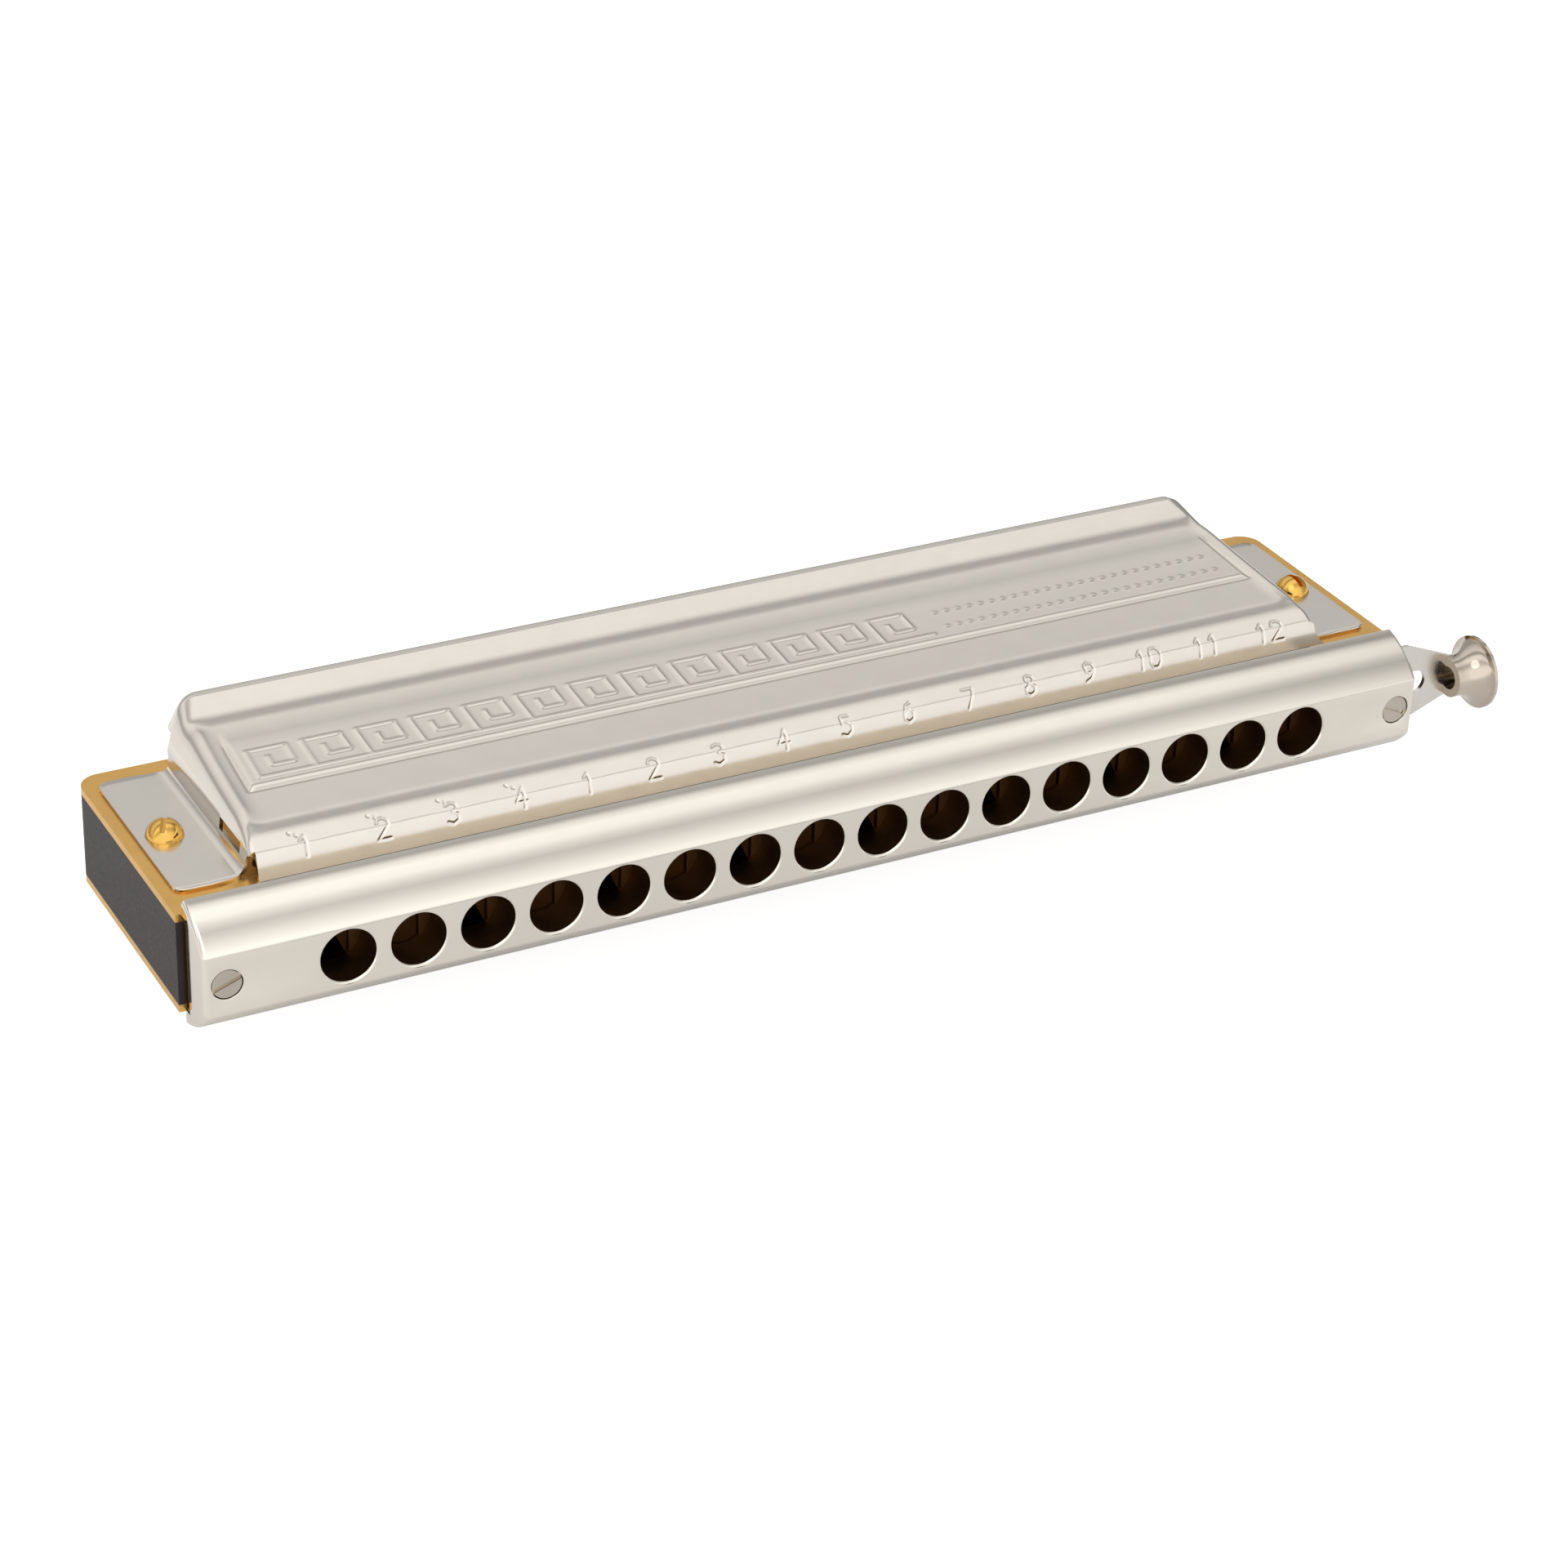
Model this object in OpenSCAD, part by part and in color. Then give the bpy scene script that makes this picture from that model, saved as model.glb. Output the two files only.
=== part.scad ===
// Sixteen-hole chromatic harmonica with a sprung slide.
// Drawn in the frame of its hole row: X along the row towards the button, Y from the
// mouthpiece's front face to the back, Z up from the holes' axis. The module
// on_its_base then stands it on its lower cover, centred over the origin.

/* [Hole row] */
// Number of mouth holes
hole_count = 16; // [10:1:18]
// Distance between neighbouring holes
hole_pitch = 9.4; // [9:0.1:10.6]
// Diameter of a mouth hole
hole_d = 7.3; // [6.4:0.1:7.5]
// Width of the bright lead-in round each hole
hole_lead = 0.4; // [0.2:0.05:0.5]

/* [Comb] */
// Length of comb beyond the centre of each end hole
end_block = 19.8; // [19:0.2:24]
// Depth of the comb from front to back
comb_depth = 37.2; // [36:0.2:42]
// Height of the comb without its reed plates
comb_h = 11.9; // [10.8:0.1:14]
// Radius of the comb's back corners
comb_corner_r = 3; // [1:0.5:4]
// Thickness of the floor between upper and lower cells
web_t = 1.2; // [0.8:0.1:1.6]
// Thickness of the wall between neighbouring cells
cell_wall = 1.8; // [1.4:0.1:2.2]

/* [Reeds] */
// Thickness of a reed plate
plate_t = 1.05; // [0.8:0.05:1.4]
// Slot length of the lowest reed
slot_long = 22.5; // [19:0.5:23]
// Slot length of the highest reed
slot_short = 11.5; // [9:0.5:14]
// Width of a reed slot
slot_w = 2.3; // [1.8:0.1:2.4]
// Thickness of a reed at its riveted foot
reed_foot_t = 0.5; // [0.35:0.05:0.6]
// Thickness of a reed's tongue
reed_t = 0.22; // [0.15:0.01:0.3]
// Radius of a reed rivet
rivet_r = 0.55; // [0.4:0.05:0.7]
// Thickness of a valve strip
valve_t = 0.18; // [0.1:0.02:0.3]
// Number of holes with valves, counted from the lowest
valved_holes = 14; // [8:1:16]

/* [Mouthpiece] */
// Step from the comb's end to the mouthpiece's end
mouth_inset = 0.85; // [0:0.05:1.5]
// Depth of the mouthpiece from front to back
mouth_depth = 6.9; // [6.6:0.1:9]
// Height of the mouthpiece
mouth_h = 18.4; // [17.6:0.2:21]
// Height of its flat front face
mouth_flat_h = 8.6; // [8.4:0.1:10]
// Radius of the rolled upper and lower surfaces
mouth_roll_r = 9; // [7:0.5:14]
// Radius of its corners seen from the front
mouth_corner_r = 1.2; // [0.5:0.1:3]

/* [Slide] */
// Thickness of the slide
slide_t = 0.6; // [0.5:0.05:0.8]
// Running clearance all round the slide
slide_gap = 0.05; // [0.03:0.01:0.08]
// Height of the slide between its guides
slide_h = 12.1; // [11.4:0.1:12.4]
// Width of a slide window
window_w = 4; // [3.4:0.1:4.1]
// Height of a slide window
window_h = 3.1; // [2.6:0.1:3.2]
// Width of the bar between the two rows of windows
window_bar = 1; // [0.8:0.1:1.6]
// Thickness of the front channel's sheet
channel_t = 0.35; // [0.25:0.05:0.4]
// Thickness of the back plate
back_t = 0.45; // [0.35:0.05:0.5]
// Length of straight slide that shows beside the mouthpiece
blade_out = 2.55; // [1:0.25:4]

/* [Button] */
// Distance from the mouthpiece's end to the button's neck
button_reach = 9.55; // [8:0.25:13]
// Length of the button
button_len = 5.2; // [4.6:0.2:7]
// Radius of the button's rim
button_rim_r = 5.25; // [4.5:0.25:6]
// Radius of the button's neck
button_neck_r = 2.85; // [2.6:0.05:3.2]
// Radius of the open bore in the neck
button_bore_r = 1.7; // [1.2:0.1:1.9]
// Distance from the slide's middle forward to the button's axis
button_ahead = 1.15; // [0.8:0.05:1.4]

/* [Covers] */
// Thickness of the cover sheet
sheet_t = 0.5; // [0.4:0.05:0.7]
// Distance from the comb's front to a cover's front wall
cover_setback = 3.4; // [3:0.1:5]
// Height of the crisp front edge over the reed plate
front_edge_h = 3.5; // [3:0.1:4]
// Height of the rounded shoulder behind the front edge
shoulder_h = 4.25; // [4:0.05:4.6]
// Height of the field at its front
field_front_h = 5.15; // [4.9:0.05:5.6]
// Height of the field at its back
field_back_h = 7.3; // [6.6:0.1:8]
// Height of the rear ridge
ridge_h = 9.5; // [8.8:0.1:10.5]
// Radius of the rear ridge's crown
ridge_r = 1.2; // [1:0.1:2.5]
// Width of the flat crown that the lower ridge stands on
crown_w = 1; // [0.6:0.1:1.4]
// Distance from an end hole's centre to the cover's end wall
cover_end = 7.7; // [7.2:0.1:8.5]
// Radius of the roll along the cover's ends
end_roll_r = 1.8; // [1:0.1:2.5]
// Lean of the end walls, in degrees
wall_lean = 8; // [2:1:12]
// Distance from the comb's end to a tab's end
tab_inset = 1.8; // [1:0.1:3]
// Radius of a tab's outer corners
tab_corner_r = 1.6; // [0.5:0.1:2.5]
// Length of the vent slot in an end wall
vent_l = 7; // [4:0.5:9]
// Height of the vent slot in an end wall
vent_h = 1.3; // [0.8:0.1:1.6]

/* [Fasteners] */
// Distance from the comb's end to a cover bolt
bolt_inset = 5.3; // [5:0.1:5.8]
// Distance from the comb's front to a cover bolt
bolt_back = 18.1; // [14:0.1:24]
// Radius of a cover bolt's domed head
bolt_head_r = 2.5; // [2:0.1:2.8]
// Height of a cover bolt's domed head
bolt_head_h = 2.2; // [1.6:0.1:2.4]
// Radius of a cover bolt's shank
bolt_r = 1.2; // [1:0.05:1.4]
// Size of a cover nut across its flats
nut_flats = 4.5; // [4:0.1:5.5]
// Height of a cover nut
nut_h = 1.8; // [1.4:0.1:2.4]
// Distance from the mouthpiece's end to its screw
mouth_screw_inset = 3.05; // [2.8:0.05:3.4]
// Radius of a mouthpiece screw's head
mouth_head_r = 1.95; // [1.6:0.05:2.1]
// Radius of a mouthpiece screw's shank
mouth_screw_r = 1; // [0.8:0.05:1.1]
// Radius of the rubber sleeve round that shank
sleeve_r = 1.7; // [1.5:0.05:1.8]
// Radius of a reed plate screw's head
plate_head_r = 1.2; // [1:0.05:1.4]

/* [Spring] */
// Radius of the spring wire
wire_r = 0.35; // [0.25:0.05:0.4]
// Mean radius of the spring's coil
coil_r = 1.25; // [1.1:0.05:1.3]
// Length of the leg that pushes the slide
leg_len = 6.6; // [6:0.2:7]

/* [Hidden] */
$fn = 48;

// Gap between a shank and its bore
fit = 0.02;
// Gap between pieces that lie on each other
eps = 0.01;
// How far a cut runs past a face
past = 1;

// Along the row
row_half = (hole_count - 1) / 2 * hole_pitch;
comb_half = row_half + end_block;
mouth_half = comb_half - mouth_inset;
travel = hole_pitch / 2;
function hole_x(i) = i * hole_pitch - row_half;
function odd(i) = i % 2 == 1;
all_holes = [0 : hole_count - 1];

// Front to back
back_face_y = mouth_depth - back_t;
slide_y = back_face_y - slide_gap - slide_t;
channel_y = slide_y - slide_gap - channel_t;
slide_mid_y = slide_y + slide_t / 2;
comb_back_y = mouth_depth + comb_depth;

// Up and down
plate_top = comb_h / 2 + plate_t;
channel_half = slide_h / 2 + slide_gap + channel_t;
pocket_half = channel_half + 0.3;
window_mid = (window_bar + window_h) / 2;

// Reed slots
foot_len = 2.6;
foot_clear = 1.7;
slot_front = mouth_depth + cover_setback + foot_clear + foot_len;
slot_side = hole_pitch * 0.2;
cell_spare = foot_len + 0.7;
tongue_gap = 0.3;
foot_step = 0.8;
valve_overlap = 0.8;
function slot_len(i) = slot_long - (slot_long - slot_short) * i / (hole_count - 1);
function cell_back(i) = slot_front + slot_len(i) + cell_spare;
reed_w = slot_w - 0.1;
valve_w = slot_w + 0.4;
rivet_head_r = rivet_r + 0.3;
rivet_head_h = 0.3;

// Screws
bolt_x = comb_half - bolt_inset;
bolt_y = mouth_depth + bolt_back;
bolt_slot_w = 0.7;
bolt_slot_d = 0.9;
bolt_past_nut = 0.4;
mouth_screw_x = mouth_half - mouth_screw_inset;
mouth_screw_len = 15;
mouth_slot_w = 0.6;
mouth_slot_d = 0.5;
head_sink = 0.15;
head_t = 1;
head_gap = 0.12;
plate_screw_r = 0.7;
plate_screw_len = 3.6;
plate_head_h = 0.8;
plate_slot_w = 0.3;
plate_slot_d = 0.35;
hole_past_screw = 0.3;
plate_screw_end_x = row_half + hole_pitch / 2 + plate_screw_r + 0.4;
plate_screw_back_y = comb_back_y - 2.2;
plate_screws = [[-row_half * 0.8, plate_screw_back_y], [0, plate_screw_back_y],
    [row_half * 0.8, plate_screw_back_y],
    [-plate_screw_end_x, mouth_depth + comb_depth * 0.2],
    [plate_screw_end_x, mouth_depth + comb_depth * 0.2],
    [-plate_screw_end_x, mouth_depth + comb_depth * 0.75],
    [plate_screw_end_x, mouth_depth + comb_depth * 0.75]];

// Slide spring: a hairpin of wire in a pocket at the end away from the button
pocket_depth = 2.9;
pocket_wall = 0.5;
pocket_pin_depth = 2;
coil_clear = 0.45;
coil_left = -mouth_screw_x + mouth_screw_r + pocket_wall;
coil_x = coil_left + coil_clear + wire_r + coil_r;
coil_z = -2.6;
coil_pitch = 2 * wire_r + coil_clear;
coil_start = 180;
coil_turn = 500;
leg_dir = coil_start + coil_turn;
tip_x = coil_x + coil_r * cos(leg_dir) - leg_len * sin(leg_dir);
tip_z = coil_z + coil_r * sin(leg_dir) + leg_len * cos(leg_dir);
coil_back_y = mouth_depth + pocket_depth - wire_r - 0.3;
leg_y = coil_back_y - coil_pitch * coil_turn / 360;
tip_gap = 0.1;
leg_room = wire_r + 0.2;
pin_r = coil_r - wire_r - tip_gap;
pocket_left = coil_left;
pocket_right = tip_x + wire_r + pocket_wall;
pocket_roof = 0.9;
pocket_top = comb_h / 2 - pocket_roof;

// Slide outline
slide_left = -mouth_screw_x + sleeve_r + 0.2;
taper_x = mouth_half + blade_out;
tongue_in = 2.2;
tongue_x = mouth_half + button_reach + tongue_in;
taper_rate = 0.4;
tongue_half = slide_h / 2 - taper_rate * (tongue_x - taper_x);
slot_half = sleeve_r + slide_gap;
right_slot_end = mouth_screw_x + travel + 2.7;
window_lean = 1.4;
window_gap = 0.2;

// Button
button_x = mouth_half + button_reach;
button_y = slide_mid_y - button_ahead;
button_bore_l = 3.1;
neck_len = 0.9;
rim_edge = 0.5;
face_dome = 0.3;
flare_dr = button_rim_r - button_neck_r;
flare_dx = button_len - neck_len - rim_edge - face_dome;
flare_r = (flare_dr * flare_dr + flare_dx * flare_dx) / (2 * flare_dr);
dome_r = (button_rim_r * button_rim_r + face_dome * face_dome) / (2 * face_dome);

// Arc of a rounded corner: p is the corner, a and b the points before and after it
function unit(v) = v / norm(v);
function cross2(a, b) = a[0] * b[1] - a[1] * b[0];
function corner(a, p, b, r, steps) =
    let (u = unit(a - p), v = unit(b - p), half = acos(u * v) / 2,
        reach = r / tan(half), c = p + unit(u + v) * r / sin(half),
        s = p + u * reach - c, turn = 180 - 2 * half,
        way = cross2(u, v) > 0 ? -1 : 1)
    [for (i = [0 : steps]) let (t = way * turn * i / steps)
        c + [s[0] * cos(t) - s[1] * sin(t), s[0] * sin(t) + s[1] * cos(t)]];
// Open outline through rounded corners given as [across, up, radius, steps]
function rounded(c) = [
    [c[0][0], c[0][1]],
    for (i = [1 : len(c) - 2])
        each corner([c[i - 1][0], c[i - 1][1]], [c[i][0], c[i][1]],
            [c[i + 1][0], c[i + 1][1]], c[i][2], c[i][3]),
    [c[len(c) - 1][0], c[len(c) - 1][1]]];
// The same outline moved inward, to its right, by a distance
function normal_at(p, i) =
    let (a = p[max(i - 1, 0)], b = p[min(i + 1, len(p) - 1)], d = unit(b - a)) [d[1], -d[0]];
function inset_line(p, t) = [for (i = [0 : len(p) - 1]) p[i] + normal_at(p, i) * t];

// Cover section from front to back, as [y, z] over the reed plate
cover_front = mouth_depth + cover_setback;
front_lean = 0.8;
shoulder_y = cover_front + 2.1;
valley_y = cover_front + 4;
field_y = cover_front + 7.1;
ridge_y = comb_back_y - 1.1;
ridge_rise = 26;
lip_fall = 80;
lip_straight = 3.2;
ridge_mid = [ridge_y, ridge_h - ridge_r];
rise_end = ridge_mid + ridge_r * [-sin(ridge_rise), cos(ridge_rise)];
field_end = rise_end - (rise_end[1] - field_back_h) / tan(ridge_rise) * [1, tan(ridge_rise)];
lip_start = ridge_mid + ridge_r * [sin(lip_fall), cos(lip_fall)];
lip_end = lip_start + lip_straight * [cos(lip_fall), -sin(lip_fall)];
ridge_corner_up = (lip_start[1] - rise_end[1] + (lip_start[0] - rise_end[0]) * tan(lip_fall))
    / (tan(ridge_rise) + tan(lip_fall));
ridge_corner = rise_end + ridge_corner_up * [1, tan(ridge_rise)];
cover_line = rounded([
    [cover_front, 0],
    [cover_front + front_lean, front_edge_h, sheet_t + 0.15, 3],
    [shoulder_y, shoulder_h, 1.2, 3],
    [valley_y, shoulder_h - 0.05, 2.5, 3],
    [field_y, field_front_h, 3, 3],
    [field_end[0], field_end[1], 5, 4],
    [ridge_corner[0], ridge_corner[1], ridge_r, 8],
    lip_end]);
lip_y = lip_end[0];
crown_cut = ridge_r - sqrt(ridge_r * ridge_r - crown_w * crown_w / 4);
crown_h = ridge_h - crown_cut;

// Cover end, as [distance from the middle, drop below the section]
cover_half = row_half + cover_end;
wall_drop = 14;
end_arc = [for (i = [0 : 6]) 90 - i * (90 - wall_lean) / 6];
function end_line(t) = let (r = end_roll_r - t, m = cover_half - end_roll_r) [
    for (a = end_arc) [m + r * cos(a), end_roll_r - t - r * sin(a)],
    [m + r * cos(wall_lean) + wall_drop * tan(wall_lean), wall_drop + end_roll_r - t]];
tab_end = comb_half - tab_inset;
tab_front = cover_front + 1.1;
tab_back = comb_back_y - 3.1;
foot_x = cover_half + 2.4;
foot_r = 1.7;
notch_x = cover_half + 0.8;
vent_y = cover_front + 4.8;
vent_z = 1.6;

// Stands the harmonica on its lower ridge, with the origin under its middle
reach_x = button_x + button_len;
front_y = min(0, button_y - button_rim_r);
mid_x = (reach_x - comb_half) / 2;
mid_y = (front_y + lip_y) / 2;
module on_its_base()
    translate([-mid_x, -mid_y, plate_top + crown_h])
        children();

// A solid drawn in X and Z, with its thickness along Y from y0 to y1
module sheet_xz(y0, y1)
    translate([0, y1, 0])
        rotate([90, 0, 0])
            linear_extrude(y1 - y0)
                children();
// A solid drawn in Y and Z, with its length along X from x0 to x1
module bar_yz(x0, x1)
    translate([x0, 0, 0])
        rotate([90, 0, 90])
            linear_extrude(x1 - x0)
                children();
// A cylinder along Y from y0 to y1
module rod_y(y0, y1, r)
    translate([0, y1, 0])
        rotate([90, 0, 0])
            cylinder(h = y1 - y0, r = r);
// A rectangle by its lowest and highest corners
module rect(a, b)
    translate(a)
        square(b - a);
// The same piece at the right end, or mirrored to the left end for a negative s
module at_side(s)
    if (s < 0) mirror([1, 0, 0]) children();
    else children();
// The same piece on the lower side
module lower_side()
    mirror([0, 0, 1])
        children();

// Plan of the comb and of the reed plates
module body_plan() {
    r = comb_corner_r;
    rect([-comb_half, mouth_depth], [comb_half, comb_back_y - r]);
    rect([-comb_half + r, mouth_depth], [comb_half - r, comb_back_y]);
    for (s = [-1, 1])
        translate([s * (comb_half - r), comb_back_y - r])
            circle(r);
}

module comb() {
    color("#3a3634") difference() {
        translate([0, 0, -comb_h / 2])
            linear_extrude(comb_h)
                body_plan();
        for (i = all_holes, side = [0, 1])
            mirror([0, 0, side])
                translate([hole_x(i) - (hole_pitch - cell_wall) / 2, mouth_depth - past, web_t / 2])
                    cube([hole_pitch - cell_wall, cell_back(i) - mouth_depth + past, comb_h]);
        for (s = [-1, 1]) {
            translate([s * bolt_x, bolt_y, -comb_h])
                cylinder(h = 2 * comb_h, r = bolt_r + fit);
            translate([s * mouth_screw_x, 0, 0])
                rod_y(0, mouth_screw_len + 0.5, mouth_screw_r + fit);
        }
        for (p = plate_screws, side = [0, 1])
            mirror([0, 0, side])
                translate([p[0], p[1], plate_top - plate_screw_len - hole_past_screw])
                    cylinder(h = comb_h, r = plate_screw_r + fit);
        sheet_xz(mouth_depth - past, mouth_depth + pocket_depth)
            rect([pocket_left, -pocket_top], [pocket_right, pocket_top]);
        translate([coil_x, 0, coil_z])
            rod_y(mouth_depth, mouth_depth + pocket_depth + pocket_pin_depth, pin_r + fit);
    }
}

// Reed k of a hole: 0 blows and is riveted at the front inside, 1 draws, at the back outside
function slot_x(i, k) = hole_x(i) + (k == 0 ? -slot_side : slot_side);
function foot_y(i, k) = k == 0 ? slot_front - foot_len / 2 : slot_front + slot_len(i) + foot_len / 2;

module reed_plate() {
    color("#c79a4b") difference() {
        translate([0, 0, comb_h / 2])
            linear_extrude(plate_t)
                difference() {
                    body_plan();
                    for (i = all_holes, k = [0, 1]) {
                        rect([slot_x(i, k) - slot_w / 2, slot_front],
                            [slot_x(i, k) + slot_w / 2, slot_front + slot_len(i)]);
                        translate([slot_x(i, k), foot_y(i, k)])
                            circle(rivet_r + fit, $fn = 24);
                    }
                    for (p = plate_screws)
                        translate(p)
                            circle(plate_screw_r + 0.1);
                    for (s = [-1, 1])
                        translate([s * bolt_x, bolt_y])
                            circle(bolt_r + fit);
                }
    }
}

// Side view of a reed lying along Y on a face at height 0, its foot ending at y = 0
module reed(length) {
    translate([-reed_w / 2, 0, 0])
        difference() {
            bar_yz(0, reed_w)
                polygon([[0, 0], [length - tongue_gap, 0], [length - tongue_gap, reed_t * 0.8],
                    [foot_step, reed_t], [0, reed_foot_t], [-foot_len, reed_foot_t], [-foot_len, 0]]);
            translate([reed_w / 2, -foot_len / 2, -past])
                cylinder(h = reed_foot_t + 2 * past, r = rivet_r + fit, $fn = 24);
        }
}
module blow_reeds() {
    color("#d6ab57")
        for (i = all_holes)
            translate([slot_x(i, 0), slot_front, comb_h / 2 - eps])
                mirror([0, 0, 1])
                    reed(slot_len(i));
}
module draw_reeds() {
    color("#d6ab57")
        for (i = all_holes)
            translate([slot_x(i, 1), slot_front + slot_len(i), plate_top + eps])
                mirror([0, 1, 0])
                    reed(slot_len(i));
}

// A rivet through a plate from height 0 up, closed over a reed's foot
module rivet() {
    grip = plate_t + reed_foot_t + 2 * fit;
    rotate_extrude($fn = 24)
        union() {
            rect([0, -rivet_head_h], [rivet_r, grip + rivet_head_h]);
            rect([0, -rivet_head_h], [rivet_head_r, 0]);
            rect([0, grip], [rivet_head_r, grip + rivet_head_h]);
        }
}
module reed_rivets() {
    color("#b98a3c")
        for (i = all_holes) {
            translate([slot_x(i, 0), foot_y(i, 0), plate_top + fit])
                mirror([0, 0, 1])
                    rivet();
            translate([slot_x(i, 1), foot_y(i, 1), comb_h / 2 - fit])
                rivet();
        }
}

// Valve strips lie over the slots on the side away from the reed
module valve(i, k, z) {
    back = slot_front + slot_len(i) + valve_overlap;
    clear = foot_y(i, k) + (k == 0 ? 1 : -1) * (rivet_head_r + 0.2);
    y0 = k == 0 ? clear : slot_front - valve_overlap;
    y1 = k == 0 ? back : clear;
    translate([slot_x(i, k) - valve_w / 2, y0, z])
        cube([valve_w, y1 - y0, valve_t]);
}
module outer_valves() {
    color("#e9e4d4")
        for (i = [0 : valved_holes - 1])
            valve(i, 0, plate_top + eps);
}
module inner_valves() {
    color("#e9e4d4")
        for (i = [0 : valved_holes - 1])
            valve(i, 1, comb_h / 2 - eps - valve_t);
}

// A small slotted screw that ends plate_screw_len below the plate's face
module small_screw() {
    difference() {
        union() {
            translate([0, 0, -plate_screw_len])
                cylinder(h = plate_screw_len + plate_head_h, r = plate_screw_r);
            translate([0, 0, eps])
                cylinder(h = plate_head_h, r1 = plate_head_r, r2 = plate_head_r - 0.2);
        }
        translate([-plate_head_r, -plate_slot_w / 2, plate_head_h - plate_slot_d])
            cube([2 * plate_head_r, plate_slot_w, past]);
    }
}
module plate_screws_set() {
    color("#c2933f")
        for (p = plate_screws)
            translate([p[0], p[1], plate_top])
                rotate([0, 0, p[0] * 3])
                    small_screw();
}

// Everything under a cover section: line is [y, z], ends is [distance from the middle, drop]
module dome(line, ends) {
    n = len(line);
    m = 2 * len(ends);
    floor_z = -wall_drop * 2;
    across = concat([for (i = [len(ends) - 1 : -1 : 0]) [-ends[i][0], ends[i][1]]], ends);
    skin = [for (e = across, p = line) [e[0], p[0], p[1] - e[1]]];
    base = [for (e = across, y = [line[0][0], line[n - 1][0]]) [e[0], y, floor_z]];
    function s(j, i) = j * n + i;
    function b(j, k) = m * n + 2 * j + k;
    top = [for (j = [0 : m - 2], i = [0 : n - 2])
        each [[s(j, i), s(j, i + 1), s(j + 1, i + 1)], [s(j, i), s(j + 1, i + 1), s(j + 1, i)]]];
    walls = [for (j = [0 : m - 2])
        each [[s(j, 0), s(j + 1, 0), b(j + 1, 0), b(j, 0)],
            [s(j + 1, n - 1), s(j, n - 1), b(j, 1), b(j + 1, 1)],
            [b(j + 1, 0), b(j + 1, 1), b(j, 1), b(j, 0)]]];
    left = concat([for (i = [n - 1 : -1 : 0]) s(0, i)], [b(0, 0), b(0, 1)]);
    right = concat([for (i = [0 : n - 1]) s(m - 1, i)], [b(m - 1, 1), b(m - 1, 0)]);
    polyhedron(points = concat(skin, base), faces = concat(top, walls, [left, right]), convexity = 6);
}

// A formed cover plate standing on the upper reed plate
module cover() {
    inner = inset_line(cover_line, sheet_t);
    first = [inner[0][0], -past];
    last = [lip_y + past, inner[len(inner) - 1][1]];
    side = cover_half + wall_drop;
    lip_h = lip_end[1];
    translate([0, 0, plate_top])
        difference() {
            union() {
                intersection() {
                    dome(cover_line, end_line(0));
                    translate([-side, 0, 0])
                        cube([2 * side, comb_back_y + past, crown_h]);
                }
                for (s = [-1, 1])
                    at_side(s) {
                        tab();
                        wall_foot();
                    }
            }
            dome(concat([first], inner, [last]), end_line(sheet_t));
            translate([-side, tab_back, -past])
                cube([2 * side, comb_depth, past + lip_h - 0.2]);
            for (s = [-1, 1]) {
                at_side(s) {
                    translate([notch_x, 0, -past])
                        cube([side, tab_front, 2 * past + ridge_h]);
                    translate([cover_half - 3, vent_y, vent_z])
                        cube([6, vent_l, vent_h]);
                    translate([bolt_x, bolt_y, -past])
                        cylinder(h = 3, r = bolt_r + 0.15);
                }
            }
        }
}
// Flat tab at one end, under the cover bolt
module tab() {
    r = tab_corner_r;
    linear_extrude(sheet_t)
        union() {
            rect([cover_half, tab_front], [tab_end - r, tab_back]);
            rect([cover_half, tab_front + r], [tab_end, tab_back - r]);
            for (y = [tab_front + r, tab_back - r])
                translate([tab_end - r, y])
                    circle(r);
        }
}
// Concave foot where the end wall turns out into the tab
module wall_foot() {
    sheet_xz(tab_front, tab_back)
        difference() {
            rect([cover_half - 0.2, 0], [foot_x, sheet_t + foot_r]);
            translate([foot_x, sheet_t + foot_r])
                circle(foot_r + 0.35);
            rect([foot_x - 0.8, sheet_t], [foot_x + past, sheet_t + foot_r + past]);
        }
}
module top_cover() {
    color("#c9c5bf") cover();
}
module bottom_cover() {
    color("#c9c5bf") lower_side() cover();
}

// Slotted domed bolt through both covers, its head on the upper tab
module cover_bolts() {
    z = plate_top + sheet_t + eps;
    dome_ball = (bolt_head_r * bolt_head_r + bolt_head_h * bolt_head_h) / (2 * bolt_head_h);
    color("#d2a04a")
        for (s = [-1, 1])
            translate([s * bolt_x, bolt_y, z])
                rotate([0, 0, s < 0 ? 62 : 100])
                    difference() {
                        union() {
                            rotate_extrude()
                                intersection() {
                                    translate([0, bolt_head_h - dome_ball])
                                        circle(dome_ball);
                                    rect([0, 0], [bolt_head_r, bolt_head_h]);
                                }
                            translate([0, 0, -2 * z - nut_h - bolt_past_nut])
                                cylinder(h = 2 * z + nut_h + 2 * bolt_past_nut, r = bolt_r);
                        }
                        translate([-bolt_head_r - past, -bolt_slot_w / 2, bolt_head_h - bolt_slot_d])
                            cube([2 * bolt_head_r + 2 * past, bolt_slot_w, bolt_head_h]);
                    }
}
module cover_nuts() {
    color("#d2a04a")
        for (s = [-1, 1])
            translate([s * bolt_x, bolt_y, -plate_top - sheet_t - eps - nut_h])
                difference() {
                    cylinder(h = nut_h, r = nut_flats / sqrt(3), $fn = 6);
                    translate([0, 0, -past])
                        cylinder(h = nut_h + 2 * past, r = bolt_r + fit, $fn = 48);
                }
}

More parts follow.
